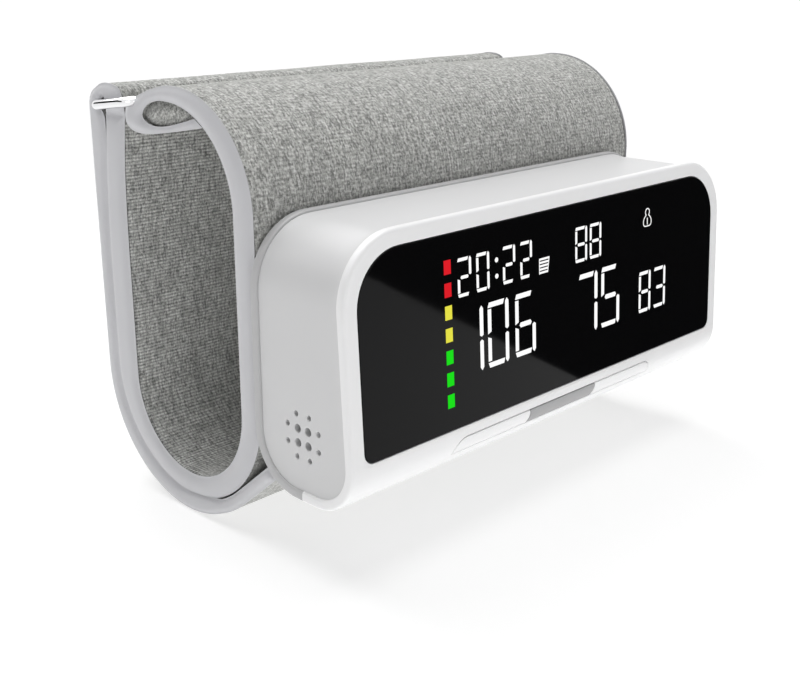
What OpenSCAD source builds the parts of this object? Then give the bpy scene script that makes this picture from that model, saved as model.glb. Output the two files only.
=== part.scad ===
// Arm-in blood pressure monitor: a three-shell housing with a dark display face,
// fixed to a pre-formed cloth cuff whose strap runs through a metal ring.
// Millimetres. X runs along the housing, -Y is the display side and Z is up.
// The housing and cuff are drawn from the housing's back plane (y = 0) and underside (z = 0),
// and place() moves them to the origin, midway under the whole monitor.

/* [Housing] */
// Length of the housing, end to end
housing_l = 147.6; // [140:0.2:160]
// Height of the housing, from its underside to its top edge
housing_h = 61.6; // [60:0.1:66]
// Depth of the housing at its lower edge, front to back
housing_d = 32.4; // [31:0.1:36]
// Backward lean of the display face, in degrees
face_lean = 3.5; // [1:0.5:5]
// Radius of the two upper corners, seen from the front
corner_r = 16; // [10:0.5:20]
// Radius of the lower front edge
front_edge_r = 11.7; // [11:0.1:13]
// Radius of the lower back edge
back_edge_r = 14; // [12:0.1:15]
// Thickness of the front and back covers
cover_t = 2.5; // [2:0.1:3]
// Thickness of the middle shell
shell_t = 1.8; // [1.4:0.1:2.4]
// Depth by which the middle shell lies below the rims of the covers
rim_step = 1; // [0.5:0.1:1.5]
// Distance from the back plane to the seam between the covers, on the underside
seam_y = 16; // [15:0.5:18]
// Gap at the seams between the shells
seam_gap = 0.1; // [0.05:0.05:0.2]

/* [Display] */
// Width of the bezel beside the window, at each end
bezel_side = 4; // [3.4:0.1:7]
// Height of the display window
window_h = 45.3; // [44:0.1:46]
// Height of the window's lower edge above the underside
window_z = 12.6; // [12.5:0.1:13.5]
// Radius of the window's upper corners
window_r = 12.5; // [8:0.5:15]
// Radius of the window's lower corners
window_low_r = 2.6; // [1:0.2:4]
// Thickness of the window
window_t = 1.6; // [1.2:0.1:1.8]
// Gap around the window
window_gap = 0.15; // [0.1:0.05:0.3]
// Distance from the window's end to the lit panel behind it, at each end
panel_side = 16.3; // [15.8:0.1:19]
// Height of the lit panel
panel_h = 39.6; // [38:0.2:40]
// Depth of the lit panel
panel_d = 5.4; // [4:0.2:6]
// Height of the large digits
large_digit_h = 15.8; // [13:0.2:16]
// Height of the small digits
small_digit_h = 8.9; // [7:0.1:9.5]
// Height of the pulse digits
pulse_digit_h = 11.5; // [9:0.1:13]
// Width of a digit's stroke
stroke_w = 1; // [0.6:0.1:1.3]
// Number of marks on the level bar
level_marks = 7; // [3:1:7]
// Spacing of the marks on the level bar
level_pitch = 5.15; // [4:0.05:5.2]

/* [Buttons] */
// Length of the button bar on the lower front edge
bar_l = 81.4; // [70:0.2:90]
// Height of the button bar
bar_h = 4.4; // [3.8:0.1:5]
// Length of the middle button
start_l = 27; // [20:0.5:34]
// Radius of the button bar's upper corners
bar_r = 4; // [2:0.1:4.2]
// Angle of the bar's middle below level, about the lower front edge
bar_angle = 21; // [18:1:24]
// Bulge of the curved joints between the buttons
joint_bulge = 0.8; // [0.4:0.1:1.2]
// Gap around and between the buttons
button_gap = 0.2; // [0.15:0.05:0.3]
// Travel of a button
button_travel = 0.4; // [0.2:0.1:0.5]
// Thickness of the lip that holds a button in
button_lip_t = 1; // [0.8:0.1:1.2]

/* [Electronics] */
// Length of the main board beyond the lit panel, at each end
board_over = 5; // [4.8:0.1:5.4]
// Height of the main board
board_h = 43; // [42:0.5:43]
// Thickness of the main board
board_t = 1.6; // [1:0.1:1.6]
// Diameter of the battery cell
cell_d = 18.3; // [14:0.1:18.4]
// Length of the battery cell
cell_l = 65; // [50:0.5:70]
// Diameter of the speaker
speaker_d = 16; // [14:0.2:16.5]
// Thickness of the speaker
speaker_t = 3.6; // [3:0.1:4.2]
// Diameter of the four large grille holes
grille_large_d = 2; // [1.2:0.1:2.2]
// Diameter of the eight small grille holes
grille_small_d = 1.3; // [0.8:0.1:1.6]
// Radius of the ring of small grille holes
grille_ring_r = 5.5; // [5:0.1:6]
// Width of the charging socket
socket_w = 9; // [8.4:0.1:9.2]
// Thickness of the charging socket
socket_t = 3.3; // [3:0.1:3.4]

/* [Air system] */
// Diameter of the pump motor
motor_d = 16; // [12:0.2:17]
// Length of the pump motor
motor_l = 24; // [20:0.5:25]
// Diameter of the pump head
head_d = 18; // [17:0.2:18]
// Length of the pump head
head_l = 14; // [12:0.5:15]
// Diameter of the pump's shaft
shaft_d = 2; // [1.5:0.1:3]
// Offset of the eccentric on the pump's shaft
eccentric = 0.8; // [0.4:0.1:1]
// Side of the square release valve
valve_w = 11; // [10:0.5:12]
// Length of the release valve
valve_l = 16; // [14:0.5:20]
// Diameter of the valve's plunger
plunger_d = 4.2; // [3:0.1:5]
// Travel of the valve's plunger
plunger_travel = 0.6; // [0.3:0.1:1]
// Radial running clearance of the shaft and the plunger
running = 0.05; // [0.03:0.01:0.08]
// Outer diameter of the air nozzles
nozzle_d = 3; // [2.6:0.1:3.4]
// Diameter of the air passages
air_d = 1.5; // [1:0.1:1.8]

/* [Cuff] */
// Width of the cuff band and its strap
cuff_w = 144.4; // [136:0.2:145]
// Depth of the arm opening, front to back
arm_d = 43.1; // [40:0.5:44]
// Thickness of the cuff at the front
front_t = 6.7; // [6.4:0.1:7.5]
// Thickness of the cuff at the back
back_t = 8.2; // [7.4:0.1:8.6]
// Thickness of the cuff at the bottom
bottom_t = 5.3; // [5:0.1:6]
// Height of the cuff's top above the housing's underside
cuff_top = 87.2; // [86:0.1:89]
// Thickness of the cuff at the top
top_t = 3.3; // [3.1:0.1:3.4]
// Gap between the cuff and the housing's back
cuff_gap = 0.3; // [0.2:0.05:0.4]
// Thickness of the outer and inner cloth
cloth_t = 1.1; // [0.8:0.1:1.2]
// Thickness of the sheet that gives the cuff its shape
stiffener_t = 0.8; // [0.5:0.1:0.9]
// Visible width of the edge binding
tape_w = 1.6; // [1.2:0.1:5]
// Thickness of the edge binding
tape_t = 0.3; // [0.2:0.05:0.4]
// Thickness of the folded-down strap
strap_t = 3.2; // [2.8:0.1:3.4]
// Gap between the folded-down strap and the back of the cuff
strap_gap = 1.4; // [1.2:0.1:1.6]
// Lowest point of the strap below the housing's underside
housing_lift = 18.2; // [17:0.1:20]

/* [Ring] */
// Diameter of the ring's wire
wire_d = 2.4; // [2:0.1:2.6]
// Distance between the ring's two long bars
ring_reach = 15; // [14.6:0.1:15.4]
// Height of the ring's hinge bar above the housing's underside
ring_z = 82.3; // [82:0.1:82.6]
// Downward slope of the ring, in degrees
ring_slope = 5; // [3:0.5:7]

/* [Hidden] */
$fn = 48;
eps = 0.01;
half_l = housing_l / 2;
window_l = housing_l - 2 * bezel_side;
panel_l = window_l - 2 * panel_side;
board_l = panel_l + 2 * board_over;

// Cuff stations, front to back
cuff_front = cuff_gap + tape_t;
arm_front = cuff_front + front_t;
arm_back = arm_front + arm_d;
cuff_back = arm_back + back_t;
flap_in = cuff_back + strap_gap;
flap_out = flap_in + strap_t;
cuff_bottom_r = (cuff_back - cuff_front) / 2;
arm_bottom_r = arm_d / 2;
flap_out_r = 32.2;
flap_centre = [flap_out - flap_out_r, flap_out_r - housing_lift];
arm_mid = (arm_front + arm_back) / 2;

// Placing of the whole monitor
back_y = (housing_d - flap_out) / 2;
module place() {
    translate([0, back_y, housing_lift]) children();
}

// Lean of the display face: a frame whose y runs inwards from the face and z up along it
front_edge_y = front_edge_r - housing_d;
face_y = front_edge_y - front_edge_r * cos(face_lean);
face_z = front_edge_r + front_edge_r * sin(face_lean);
function face_at(z) = face_y + (z - face_z) * tan(face_lean);
window_low = (window_z - face_z) / cos(face_lean);
module on_face() {
    translate([0, face_y, face_z]) rotate([-face_lean, 0, 0]) children();
}

// A flat outline drawn in x and z, made solid from depth a to depth b
module slab(a, b) {
    translate([0, b, 0]) rotate([90, 0, 0]) linear_extrude(b - a) children();
}

// An outline drawn in y and z, made solid from x = a to x = b
module bar_x(a, b) {
    translate([a, 0, 0]) rotate([90, 0, 90]) linear_extrude(b - a) children();
}

// A round bar along X
module rod_x(d, a, b, y = 0, z = 0) {
    translate([a, y, z]) rotate([0, 90, 0]) cylinder(d = d, h = b - a);
}

// A round bar along Y
module rod_y(d, a, b, x = 0, z = 0) {
    translate([x, b, z]) rotate([90, 0, 0]) cylinder(d = d, h = b - a);
}

// ---- Housing outlines ----

// What a rounded corner takes away: all outside a circle about c, between two directions
module corner_off(c, r, a0, a1) {
    far = 2 * front_edge_r;
    mid = (a0 + a1) / 2;
    difference() {
        polygon([
            c,
            c + far * [cos(a0), sin(a0)],
            c + 2 * far * [cos(mid), sin(mid)],
            c + far * [cos(a1), sin(a1)]
        ]);
        translate(c) circle(r, $fn = 96);
    }
}

// End view of the housing, drawn inset by i and cut off at a height
module end_profile(i = 0, top = housing_h) {
    rf = front_edge_r - i;
    foot = [front_edge_y - rf * cos(face_lean), front_edge_r + rf * sin(face_lean)];
    slope = tan(face_lean);
    difference() {
        polygon([
            [foot[0] - (foot[1] - i) * slope, i],
            [foot[0] + (top - foot[1]) * slope, top],
            [-i, top],
            [-i, i]
        ]);
        corner_off([front_edge_y, front_edge_r], rf, 180 - face_lean, 270);
        corner_off([-back_edge_r, back_edge_r], back_edge_r - i, 270, 360);
    }
}

// Front view of the housing, drawn inset by i: rounded at the top and square below
module front_outline(i = 0) {
    c = [half_l - corner_r, housing_h - corner_r];
    difference() {
        translate([-half_l + i, -1]) square([housing_l - 2 * i, housing_h - i + 1]);
        corner_off(c, corner_r - i, 0, 90);
        corner_off([-c[0], c[1]], corner_r - i, 90, 180);
    }
}

module housing_solid(i = 0) {
    intersection() {
        bar_x(-half_l + i, half_l - i) end_profile();
        slab(-housing_d - 1, 1) front_outline(i);
    }
}

// The two covers together: the housing's solid outside the middle shell
module cover_ring() {
    difference() {
        housing_solid();
        bar_x(-half_l - 1, half_l + 1) end_profile(cover_t, housing_h + 1);
    }
}

// Half of space in front of the seam or behind it
module seam_half(front) {
    y0 = front ? -housing_d - 2 : -seam_y + seam_gap / 2;
    y1 = front ? -seam_y - seam_gap / 2 : 1;
    translate([-half_l - 1, y0, -1]) cube([housing_l + 2, y1 - y0, housing_h + 2]);
}

// ---- Buttons ----

// Frame of the button bar: x along the bar, y inwards along the buttons' travel
module on_bar() {
    translate([0, front_edge_y, front_edge_r]) rotate([bar_angle, 0, 0]) children();
}

// Front view of the button bar, drawn larger by g
module bar_outline(g = 0) {
    h = bar_l / 2 + g;
    top = bar_h / 2 + g;
    r = bar_r + g;
    for (s = [-1, 1])
        intersection() {
            translate([s * (h - r), top - r]) circle(r);
            translate([-h, -top]) square([2 * h, 2 * top]);
        }
    translate([-h + r, -top]) square([2 * (h - r), 2 * top]);
}

// Curve of the joint between two buttons, bulging to the right from x
joint_r = (pow(bar_h / 2, 2) + pow(joint_bulge, 2)) / (2 * joint_bulge);
function joint_pts(x, g) = [
    for (k = [-3 : 3]) let (a = k / 3 * asin((bar_h / 2 + g) / (joint_r + 1)))
        [x + joint_bulge - joint_r + joint_r * cos(a), (joint_r + 1) * sin(a)]
];

// Front view of one button between joints x0 and x1
module button_outline(x0, x1, g = 0) {
    low = [for (k = [6 : -1 : 0]) joint_pts(x0, g + 1)[k]];
    intersection() {
        bar_outline(g - button_gap);
        polygon(concat(joint_pts(x1, g + 1), low));
    }
}

// Ring of the lower front edge between two radii, along the bar
module edge_ring(r0, r1) {
    rotate([0, 90, 0]) difference() {
        cylinder(r = r1, h = housing_l, center = true, $fn = 96);
        cylinder(r = r0, h = housing_l + 2, center = true, $fn = 96);
    }
}

lip_r = front_edge_r - cover_t - button_gap;
lip_over = 0.9;
post_end = 7.6;
post_d = 2.4;

module button(x0, x1, post_x) {
    lip_x0 = max(x0 + joint_bulge + button_gap, -bar_l / 2 - lip_over);
    lip_x1 = min(x1 - button_gap, bar_l / 2 + lip_over);
    on_bar() {
        intersection() {
            edge_ring(lip_r - button_lip_t, front_edge_r);
            slab(-front_edge_r - 1, 0) button_outline(x0, x1);
        }
        intersection() {
            edge_ring(lip_r - button_lip_t, lip_r);
            slab(-front_edge_r - 1, 0)
                translate([lip_x0, -bar_h / 2 - lip_over]) square([lip_x1 - lip_x0, bar_h + 2 * lip_over]);
        }
        rod_y(post_d, -lip_r + button_lip_t - 0.4, -post_end + 0.2, post_x, 0);
    }
}

start_x = start_l / 2;
side_x = (bar_l / 2 + start_x) / 2;

module left_button() {
    color("whitesmoke") place() button(-bar_l, -start_x - button_gap / 2, -side_x);
}

module start_button() {
    color("silver") place() button(-start_x + button_gap / 2, start_x - button_gap / 2, 0);
}

module right_button() {
    color("whitesmoke") place() button(start_x + button_gap / 2, bar_l, side_x);
}

// Small switches under the buttons, one each, on a narrow board of their own
switch_w = 4.5;
switch_h = 1.6;
stem_h = 0.9;
stem_d = 2;
stem_top = -post_end + 0.2 + button_travel + 0.1;
switch_y = stem_top + stem_h;
button_board_y = switch_y + switch_h;
button_board_t = 1;

module tact_switches() {
    color("dimgray") place() on_bar()
        for (x = [-side_x, 0, side_x]) {
            rod_y(stem_d, stem_top, switch_y, x, 0);
            translate([x - switch_w / 2, switch_y, -switch_w / 2]) cube([switch_w, switch_h, switch_w]);
        }
}

button_board_l = 2 * (side_x + switch_w + 2.5);
button_board_w = 5.6;

module button_board() {
    color("darkgreen") place() on_bar()
        translate([-button_board_l / 2, button_board_y, -button_board_w / 2])
            cube([button_board_l, button_board_t, button_board_w]);
}

// ---- Display ----

// Front view of the window, drawn larger by g, in the face's frame
module window_outline(g = 0) {
    top = [window_l / 2 - window_r, window_h - window_r];
    low = [window_l / 2 - window_low_r, window_low_r];
    translate([0, window_low]) difference() {
        translate([-window_l / 2 - g, -g]) square([window_l + 2 * g, window_h + 2 * g]);
        corner_off(top, window_r + g, 0, 90);
        corner_off([-top[0], top[1]], window_r + g, 90, 180);
        corner_off([-low[0], low[1]], window_low_r + g, 180, 270);
        corner_off(low, window_low_r + g, 270, 360);
    }
}

panel_low = window_low + (window_h - panel_h) / 2;
panel_y = window_t + 0.1;
board_y = panel_y + panel_d;
board_low = window_low + window_h - board_h;

module display_window() {
    color("black") place() on_face() slab(0, window_t) window_outline();
}

// The seven strokes of a digit, as [centre x, centre z, length, upright?] shares of its box
function strokes(w, h) = [
    [0, h / 2, w, false], [w / 2, h / 4, h / 2, true], [w / 2, -h / 4, h / 2, true],
    [0, -h / 2, w, false], [-w / 2, -h / 4, h / 2, true], [-w / 2, h / 4, h / 2, true], [0, 0, w, false]
];
lit = [
    [0, 1, 2, 3, 4, 5], [1, 2], [0, 1, 3, 4, 6], [0, 1, 2, 3, 6], [1, 2, 5, 6],
    [0, 2, 3, 5, 6], [0, 2, 3, 4, 5, 6], [0, 1, 2, 5], [0, 1, 2, 3, 4, 5, 6], [0, 1, 2, 3, 5, 6]
];

// One stroke: a bar with pointed ends
module stroke(len, t) {
    e = len / 2 - t * 0.12;
    side = [[-e, 0], [-e + t / 2, t / 2], [e - t / 2, t / 2]];
    polygon(concat(side, -side));
}

// A lit digit of height h whose left side is at x and foot at z
module digit(value, x, z, h) {
    t = stroke_w * h / large_digit_h + 0.25;
    w = h * 0.55;
    seven = strokes(w - t, h - t);
    translate([x + w / 2, z + h / 2])
        for (k = lit[value]) let (q = seven[k])
            translate([q[0], q[1]]) rotate(q[3] ? 90 : 0) stroke(q[2], t);
}

// A row of digits, pitch apart
module digits(values, x, z, h, pitch) {
    for (k = [0 : len(values) - 1]) digit(values[k], x + k * pitch, z, h);
}

large_z = window_low + 11.5;
small_z = window_low + 30.3;
small_pitch = 6.2;
large_pitch = 9.7;
pulse_pitch = 7.3;
colon_x = -25.5;
colon_rise = [2.4, 6.3];
level_x = -42.4;
level_z = window_low + 7.1;
level_w = 2.3;
level_h = 3.1;
segment_t = 0.8;

// Rows of lit digits: values, left side, foot, height and pitch
readings = [
    [[2, 0], -39.5, small_z, small_digit_h, small_pitch],
    [[2, 2], -23.4, small_z, small_digit_h, small_pitch],
    [[8, 8], 4.7, small_z, small_digit_h, small_pitch],
    [[1, 0, 6], -39.3, large_z, large_digit_h, large_pitch],
    [[7, 5], 6.2, large_z, large_digit_h, large_pitch],
    [[8, 3], 33.5, large_z, pulse_digit_h, pulse_pitch]
];

// What the panel shows: a clock, a small count, three readings and a level bar
module lit_marks() {
    for (r = readings) digits(r[0], r[1], r[2], r[3], r[4]);
    for (z = colon_rise) translate([colon_x, small_z + z]) circle(stroke_w * 0.6, $fn = 12);
    for (k = [0 : level_marks - 1])
        translate([level_x, level_z + k * level_pitch]) square([level_w, level_h], center = true);
}

module display_segments() {
    color("white") place() on_face() slab(panel_y, panel_y + segment_t) lit_marks();
}

// The panel's reflector: a block with a pocket behind each lit mark
module display_panel() {
    color("gainsboro") place() on_face() difference() {
        slab(panel_y, board_y)
            translate([-panel_l / 2, panel_low]) square([panel_l, panel_h]);
        slab(panel_y - 1, panel_y + segment_t) lit_marks();
    }
}

// ---- Shells ----

panel_gap = 0.4;
board_post_d = 3.6;
board_post_in = 2.2;
board_post_x = board_l / 2 - board_post_in;
board_post_z = [board_low + 3, board_low + board_h - 3];
board_screw_d = 1.3;
board_screw_in = 2.8;
board_head_d = 3.2;
board_head_h = 1.2;
gasket_t = 0.8;
case_post_d = 6.4;
case_post_x = half_l - rim_step - shell_t - gasket_t - speaker_t - case_post_d / 2 - 0.2;
case_post_z = [17, 45];
post_root = 0.4;
post_bore_d = 2;
case_screw_in = 8;
case_head_d = 5;
case_head_h = 1.8;
case_head_y = -8;
post_joint_y = -seam_y;

module front_cover() {
    color("white") place() difference() {
        union() {
            difference() {
                intersection() {
                    cover_ring();
                    seam_half(true);
                }
                on_face() slab(-1, window_t) window_outline(window_gap);
                on_face() slab(window_t - 1, cover_t + 1)
                    translate([-panel_l / 2 - panel_gap, panel_low - panel_gap])
                        square([panel_l + 2 * panel_gap, panel_h + 2 * panel_gap]);
                on_bar() slab(-front_edge_r - 1, 0) bar_outline();
            }
            for (s = [-1, 1], z = case_post_z)
                rod_y(case_post_d, face_at(z) + cover_t - post_root, post_joint_y - seam_gap,
                    s * case_post_x, z);
            on_face() for (s = [-1, 1], z = board_post_z)
                rod_y(board_post_d, cover_t - post_root, board_y, s * board_post_x, z);
        }
        for (s = [-1, 1], z = case_post_z)
            rod_y(post_bore_d, post_joint_y - case_screw_in - 1, post_joint_y + 1, s * case_post_x, z);
        on_face() for (s = [-1, 1], z = board_post_z)
            rod_y(board_screw_d + 0.1, board_y - board_screw_in - 0.4, board_y + 1, s * board_post_x, z);
    }
}

grille_y = -15.6;
grille_z = 15.1;
grille_pitch = 3.4;
socket_y = -14.5;
socket_z = 33;
socket_gap = 0.2;

// End view of the charging socket, drawn larger by g
module socket_outline(g = 0) {
    r = socket_t / 2 + g;
    h = socket_w / 2 - socket_t / 2;
    for (s = [-1, 1]) translate([socket_y, socket_z + s * h]) circle(r);
    translate([socket_y - r, socket_z - h]) square([2 * r, 2 * h]);
}

module middle_shell() {
    end_in = half_l - rim_step - shell_t;
    color("lightgray") place() difference() {
        intersection() {
            bar_x(-half_l, half_l) end_profile(cover_t + seam_gap, housing_h + 1);
            slab(-housing_d, 0) front_outline(rim_step);
        }
        slab(-housing_d - 1, 1) intersection() {
            front_outline(rim_step + shell_t);
            translate([-end_in, -2]) square([2 * end_in, housing_h + 4]);
        }
        for (y = [-1, 1], z = [-1, 1])
            rod_x(grille_large_d, -half_l, -end_in + 1,
                grille_y + y * grille_pitch / 2, grille_z + z * grille_pitch / 2);
        for (k = [0 : 7]) let (a = 22.5 + 45 * k)
            rod_x(grille_small_d, -half_l, -end_in + 1,
                grille_y + grille_ring_r * cos(a), grille_z + grille_ring_r * sin(a));
        bar_x(end_in - 1, half_l) socket_outline(socket_gap);
    }
}

pump_y = -12.6;
pump_z = 15.6;
plate_x = 44;
plate_z = [26, 50];
plate_screw_d = 3;
charge_post_d = 3;
charge_post_z = [socket_z - 4, socket_z + 4];

module rear_cover() {
    color("silver") place() difference() {
        union() {
            intersection() {
                cover_ring();
                seam_half(false);
            }
            for (s = [-1, 1], z = case_post_z)
                rod_y(case_post_d, post_joint_y + seam_gap, -cover_t + post_root, s * case_post_x, z);
            for (z = charge_post_z)
                rod_y(charge_post_d, charge_board_y + charge_board_t, -cover_t + post_root,
                    charge_post_x, z);
        }
        for (s = [-1, 1], z = case_post_z) {
            rod_y(post_bore_d + 1, post_joint_y - 1, 1, s * case_post_x, z);
            rod_y(case_head_d + 0.4, case_head_y, 1, s * case_post_x, z);
        }
        for (s = [-1, 1], z = plate_z)
            rod_y(plate_boss_d + 0.2, -cover_t - 1, 1, s * plate_x, z);
        rod_y(nozzle_boss_d + 0.2, -cover_t - 1, 1, manifold_x, pump_z);
    }
}

// A screw along Y: shank from y0 to y1 and a domed head of diameter d at the shank's end y1
module screw_y(shank, y0, y1, d, head_h, x, z) {
    difference() {
        union() {
            rod_y(shank, y0, y1, x, z);
            rod_y(d, y1, y1 + head_h, x, z);
        }
        for (w = [d * 0.6, 0.6])
            translate([x, y1 + head_h / 2 + 1, z]) cube([w, head_h + 2, d * 0.6 + 0.6 - w], center = true);
    }
}

module case_screws() {
    color("gray") place() for (s = [-1, 1], z = case_post_z)
        screw_y(post_bore_d - 0.1, post_joint_y - case_screw_in, case_head_y, case_head_d, case_head_h,
            s * case_post_x, z);
}

// ---- Electronics ----

module main_board() {
    color("darkgreen") place() on_face() difference() {
        slab(board_y, board_y + board_t) translate([-board_l / 2, board_low]) square([board_l, board_h]);
        for (s = [-1, 1], z = board_post_z)
            rod_y(board_screw_d + 0.7, board_y - 1, board_y + board_t + 1, s * board_post_x, z);
    }
}

// Chips and connectors on the back of the main board: centre x and height on the board, then
// their length, height and depth
chips = [
    [-44, 34, 9, 9, 1.4], [48, 8, 7, 7, 1.4], [44, 24, 6, 9, 2.6], [-30, 6, 8, 4, 1.2], [30, 6, 5, 4, 1.2]
];

module board_chips() {
    color("dimgray") place() on_face() for (c = chips)
        translate([c[0] - c[2] / 2, board_y + board_t, board_low + c[1] - c[3] / 2])
            cube([c[2], c[4], c[3]]);
}

module board_screws() {
    color("gray") place() on_face() for (s = [-1, 1], z = board_post_z)
        screw_y(board_screw_d, board_y - board_screw_in, board_y + board_t, board_head_d, board_head_h,
            s * board_post_x, z);
}

cell_y = -cover_t - cell_d / 2 - 0.2;
cell_z = 40;
holder_t = 1.2;

module battery_cell() {
    color("steelblue") place() {
        rod_x(cell_d, -cell_l / 2, cell_l / 2 - 1, cell_y, cell_z);
        rod_x(cell_d * 0.32, cell_l / 2 - 1, cell_l / 2, cell_y, cell_z);
    }
}

// Open cradle on the back cover, with an end wall and a spring contact at each end
module battery_holder() {
    l = cell_l + 2 * holder_t + 1.2;
    h = cell_d * 0.8;
    color("darkslategray") place() difference() {
        translate([-l / 2, cell_y, cell_z - h / 2]) cube([l, -cover_t - cell_y, h]);
        rod_x(cell_d + 0.4, -cell_l / 2 - 0.6, cell_l / 2 + 0.6, cell_y, cell_z);
    }
}

speaker_x = -half_l + rim_step + shell_t;
gasket_w = 1.5;

module speaker_gasket() {
    color("black") place() difference() {
        rod_x(speaker_d, speaker_x, speaker_x + gasket_t, grille_y, grille_z);
        rod_x(speaker_d - 2 * gasket_w, speaker_x - 1, speaker_x + gasket_t + 1, grille_y, grille_z);
    }
}

module speaker() {
    x0 = speaker_x + gasket_t;
    color("dimgray") place() {
        rod_x(speaker_d, x0, x0 + speaker_t * 0.5, grille_y, grille_z);
        rod_x(speaker_d * 0.6, x0 + speaker_t * 0.5, x0 + speaker_t, grille_y, grille_z);
    }
}

socket_l = 7.4;
socket_wall = 0.35;
socket_x1 = half_l - rim_step - 0.3;
tongue_l = 5.6;
tongue_w = 6.6;
tongue_t = 0.7;
charge_board_y = socket_y + socket_t / 2;
charge_board_t = 1;
charge_board_w = 13;
charge_board_over = 6;
charge_board_x = socket_x1 - socket_l - charge_board_over;
charge_post_x = charge_board_x + charge_board_over / 2;

module charge_board() {
    end_x = half_l - rim_step - shell_t - 0.4;
    color("darkgreen") place() translate([charge_board_x, charge_board_y, socket_z - charge_board_w / 2])
        cube([end_x - charge_board_x, charge_board_t, charge_board_w]);
}

// Charging socket: a thin shell with a tongue in it
module charge_socket() {
    color("lightsteelblue") place() {
        difference() {
            bar_x(socket_x1 - socket_l, socket_x1) socket_outline();
            bar_x(socket_x1 - socket_l + 1, socket_x1 + 1) socket_outline(-socket_wall);
        }
        translate([socket_x1 - socket_l + 0.5, socket_y - tongue_t / 2, socket_z - tongue_w / 2])
            cube([tongue_l, tongue_t, tongue_w]);
    }
}

// ---- Air system ----

motor_x0 = -case_post_x + case_post_d / 2 + 2;
motor_x1 = motor_x0 + motor_l;
motor_back = 1.4;
motor_end = 4;
head_x1 = motor_x1 + head_l;
head_wall = 1.6;
chamber_l = 7;
cam_x = motor_x1 + 2;
cam_l = 3;
cam_d = shaft_d + 3;
manifold_l = 16;
manifold_w = 10;
nipple_l = 3.4;
manifold_x0 = head_x1 + 0.4;
manifold_x = manifold_x0 + manifold_l / 2;
valve_x0 = manifold_x0 + manifold_l + 0.4;

module pump_motor() {
    color("silver") place() difference() {
        union() {
            rod_x(motor_d, motor_x0, motor_x1 - 0.1, pump_y, pump_z);
            rod_x(motor_d * 0.4, motor_x0 - motor_back, motor_x0, pump_y, pump_z);
        }
        rod_x(shaft_d + 2 * running, motor_x0 + motor_end, motor_x1 + 1, pump_y, pump_z);
    }
}

// Shaft with an eccentric that works the diaphragm
module pump_shaft() {
    color("lightgray") place() {
        rod_x(shaft_d, motor_x0 + motor_end + 0.5, cam_x + cam_l + 1, pump_y, pump_z);
        rod_x(cam_d, cam_x, cam_x + cam_l, pump_y + eccentric, pump_z);
    }
}

module pump_head() {
    color("dimgray") place() difference() {
        union() {
            rod_x(head_d, motor_x1, head_x1, pump_y, pump_z);
            rod_x(nozzle_d, head_x1 - eps, head_x1 + nipple_l, pump_y, pump_z);
        }
        rod_x(head_d - 2 * head_wall, motor_x1 - 1, motor_x1 + chamber_l, pump_y, pump_z);
        rod_x(air_d, motor_x1 + chamber_l - 1, head_x1 + nipple_l + 1, pump_y, pump_z);
    }
}

// Saddle on the back cover that holds the pump
module pump_cradle() {
    h = motor_d * 0.7;
    color("black") place() difference() {
        bar_x(motor_x0 + 3, motor_x1 - 3) intersection() {
            translate([pump_y, pump_z - h / 2]) square([-pump_y, h]);
            end_profile(cover_t + seam_gap);
        }
        rod_x(motor_d + 0.2, motor_x0, motor_x1, pump_y, pump_z);
    }
}

nozzle_boss_d = 6;
sensor_nipple = 2;

// Block that joins the pump, the valve, the sensor and the nozzle to the cuff
module air_manifold() {
    bore = nozzle_d + 0.2;
    y0 = pump_y - manifold_w / 2;
    y1 = pump_y + manifold_w / 2;
    x1 = manifold_x0 + manifold_l;
    color("gainsboro") place() difference() {
        translate([manifold_x0, y0, pump_z - manifold_w / 2]) cube([manifold_l, manifold_w, manifold_w]);
        rod_x(bore, manifold_x0 - 1, manifold_x0 + nipple_l, pump_y, pump_z);
        rod_x(bore, x1 - nipple_l, x1 + 1, pump_y, pump_z);
        rod_x(air_d, manifold_x0, x1, pump_y, pump_z);
        rod_y(air_d, y0 - 1, y1 + 1, manifold_x, pump_z);
        rod_y(bore, y1 - nipple_l, y1 + 1, manifold_x, pump_z);
        rod_y(bore, y0 - 1, y0 + sensor_nipple + 0.4, manifold_x, pump_z);
    }
}

// Nozzle from the manifold through the back cover into the bladder
nozzle_end = cuff_front + cloth_t + stiffener_t + 1.2;

module air_nozzle() {
    y1 = pump_y + manifold_w / 2;
    color("gray") place() difference() {
        union() {
            rod_y(nozzle_d, y1 - nipple_l + 0.3, nozzle_end, manifold_x, pump_z);
            rod_y(nozzle_boss_d, y1 + 0.2, -0.1, manifold_x, pump_z);
        }
        rod_y(air_d, y1 - nipple_l, nozzle_end + 1, manifold_x, pump_z);
    }
}

sensor_w = 7;

module pressure_sensor() {
    y_board = face_at(pump_z) + board_y / cos(face_lean) + board_t;
    y0 = pump_y - manifold_w / 2;
    color("lightgray") place() difference() {
        union() {
            translate([manifold_x - sensor_w / 2, y_board + 0.4, pump_z - sensor_w / 2])
                cube([sensor_w, y0 - 0.8 - y_board, sensor_w]);
            rod_y(nozzle_d, y0 - 0.6, y0 + sensor_nipple, manifold_x, pump_z);
        }
        rod_y(air_d, y0 - 2, y0 + sensor_nipple + 1, manifold_x, pump_z);
    }
}

valve_bore_l = 10;

module release_valve() {
    x1 = valve_x0 + valve_l;
    color("steelblue") place() difference() {
        union() {
            translate([valve_x0, pump_y - valve_w / 2, pump_z - valve_w / 2])
                cube([valve_l, valve_w, valve_w]);
            rod_x(nozzle_d, valve_x0 - nipple_l, valve_x0 + eps, pump_y, pump_z);
        }
        rod_x(air_d, valve_x0 - nipple_l - 1, x1 - valve_bore_l + 0.5, pump_y, pump_z);
        rod_x(plunger_d + 2 * running, x1 - valve_bore_l, x1 + 1, pump_y, pump_z);
    }
}

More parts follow.
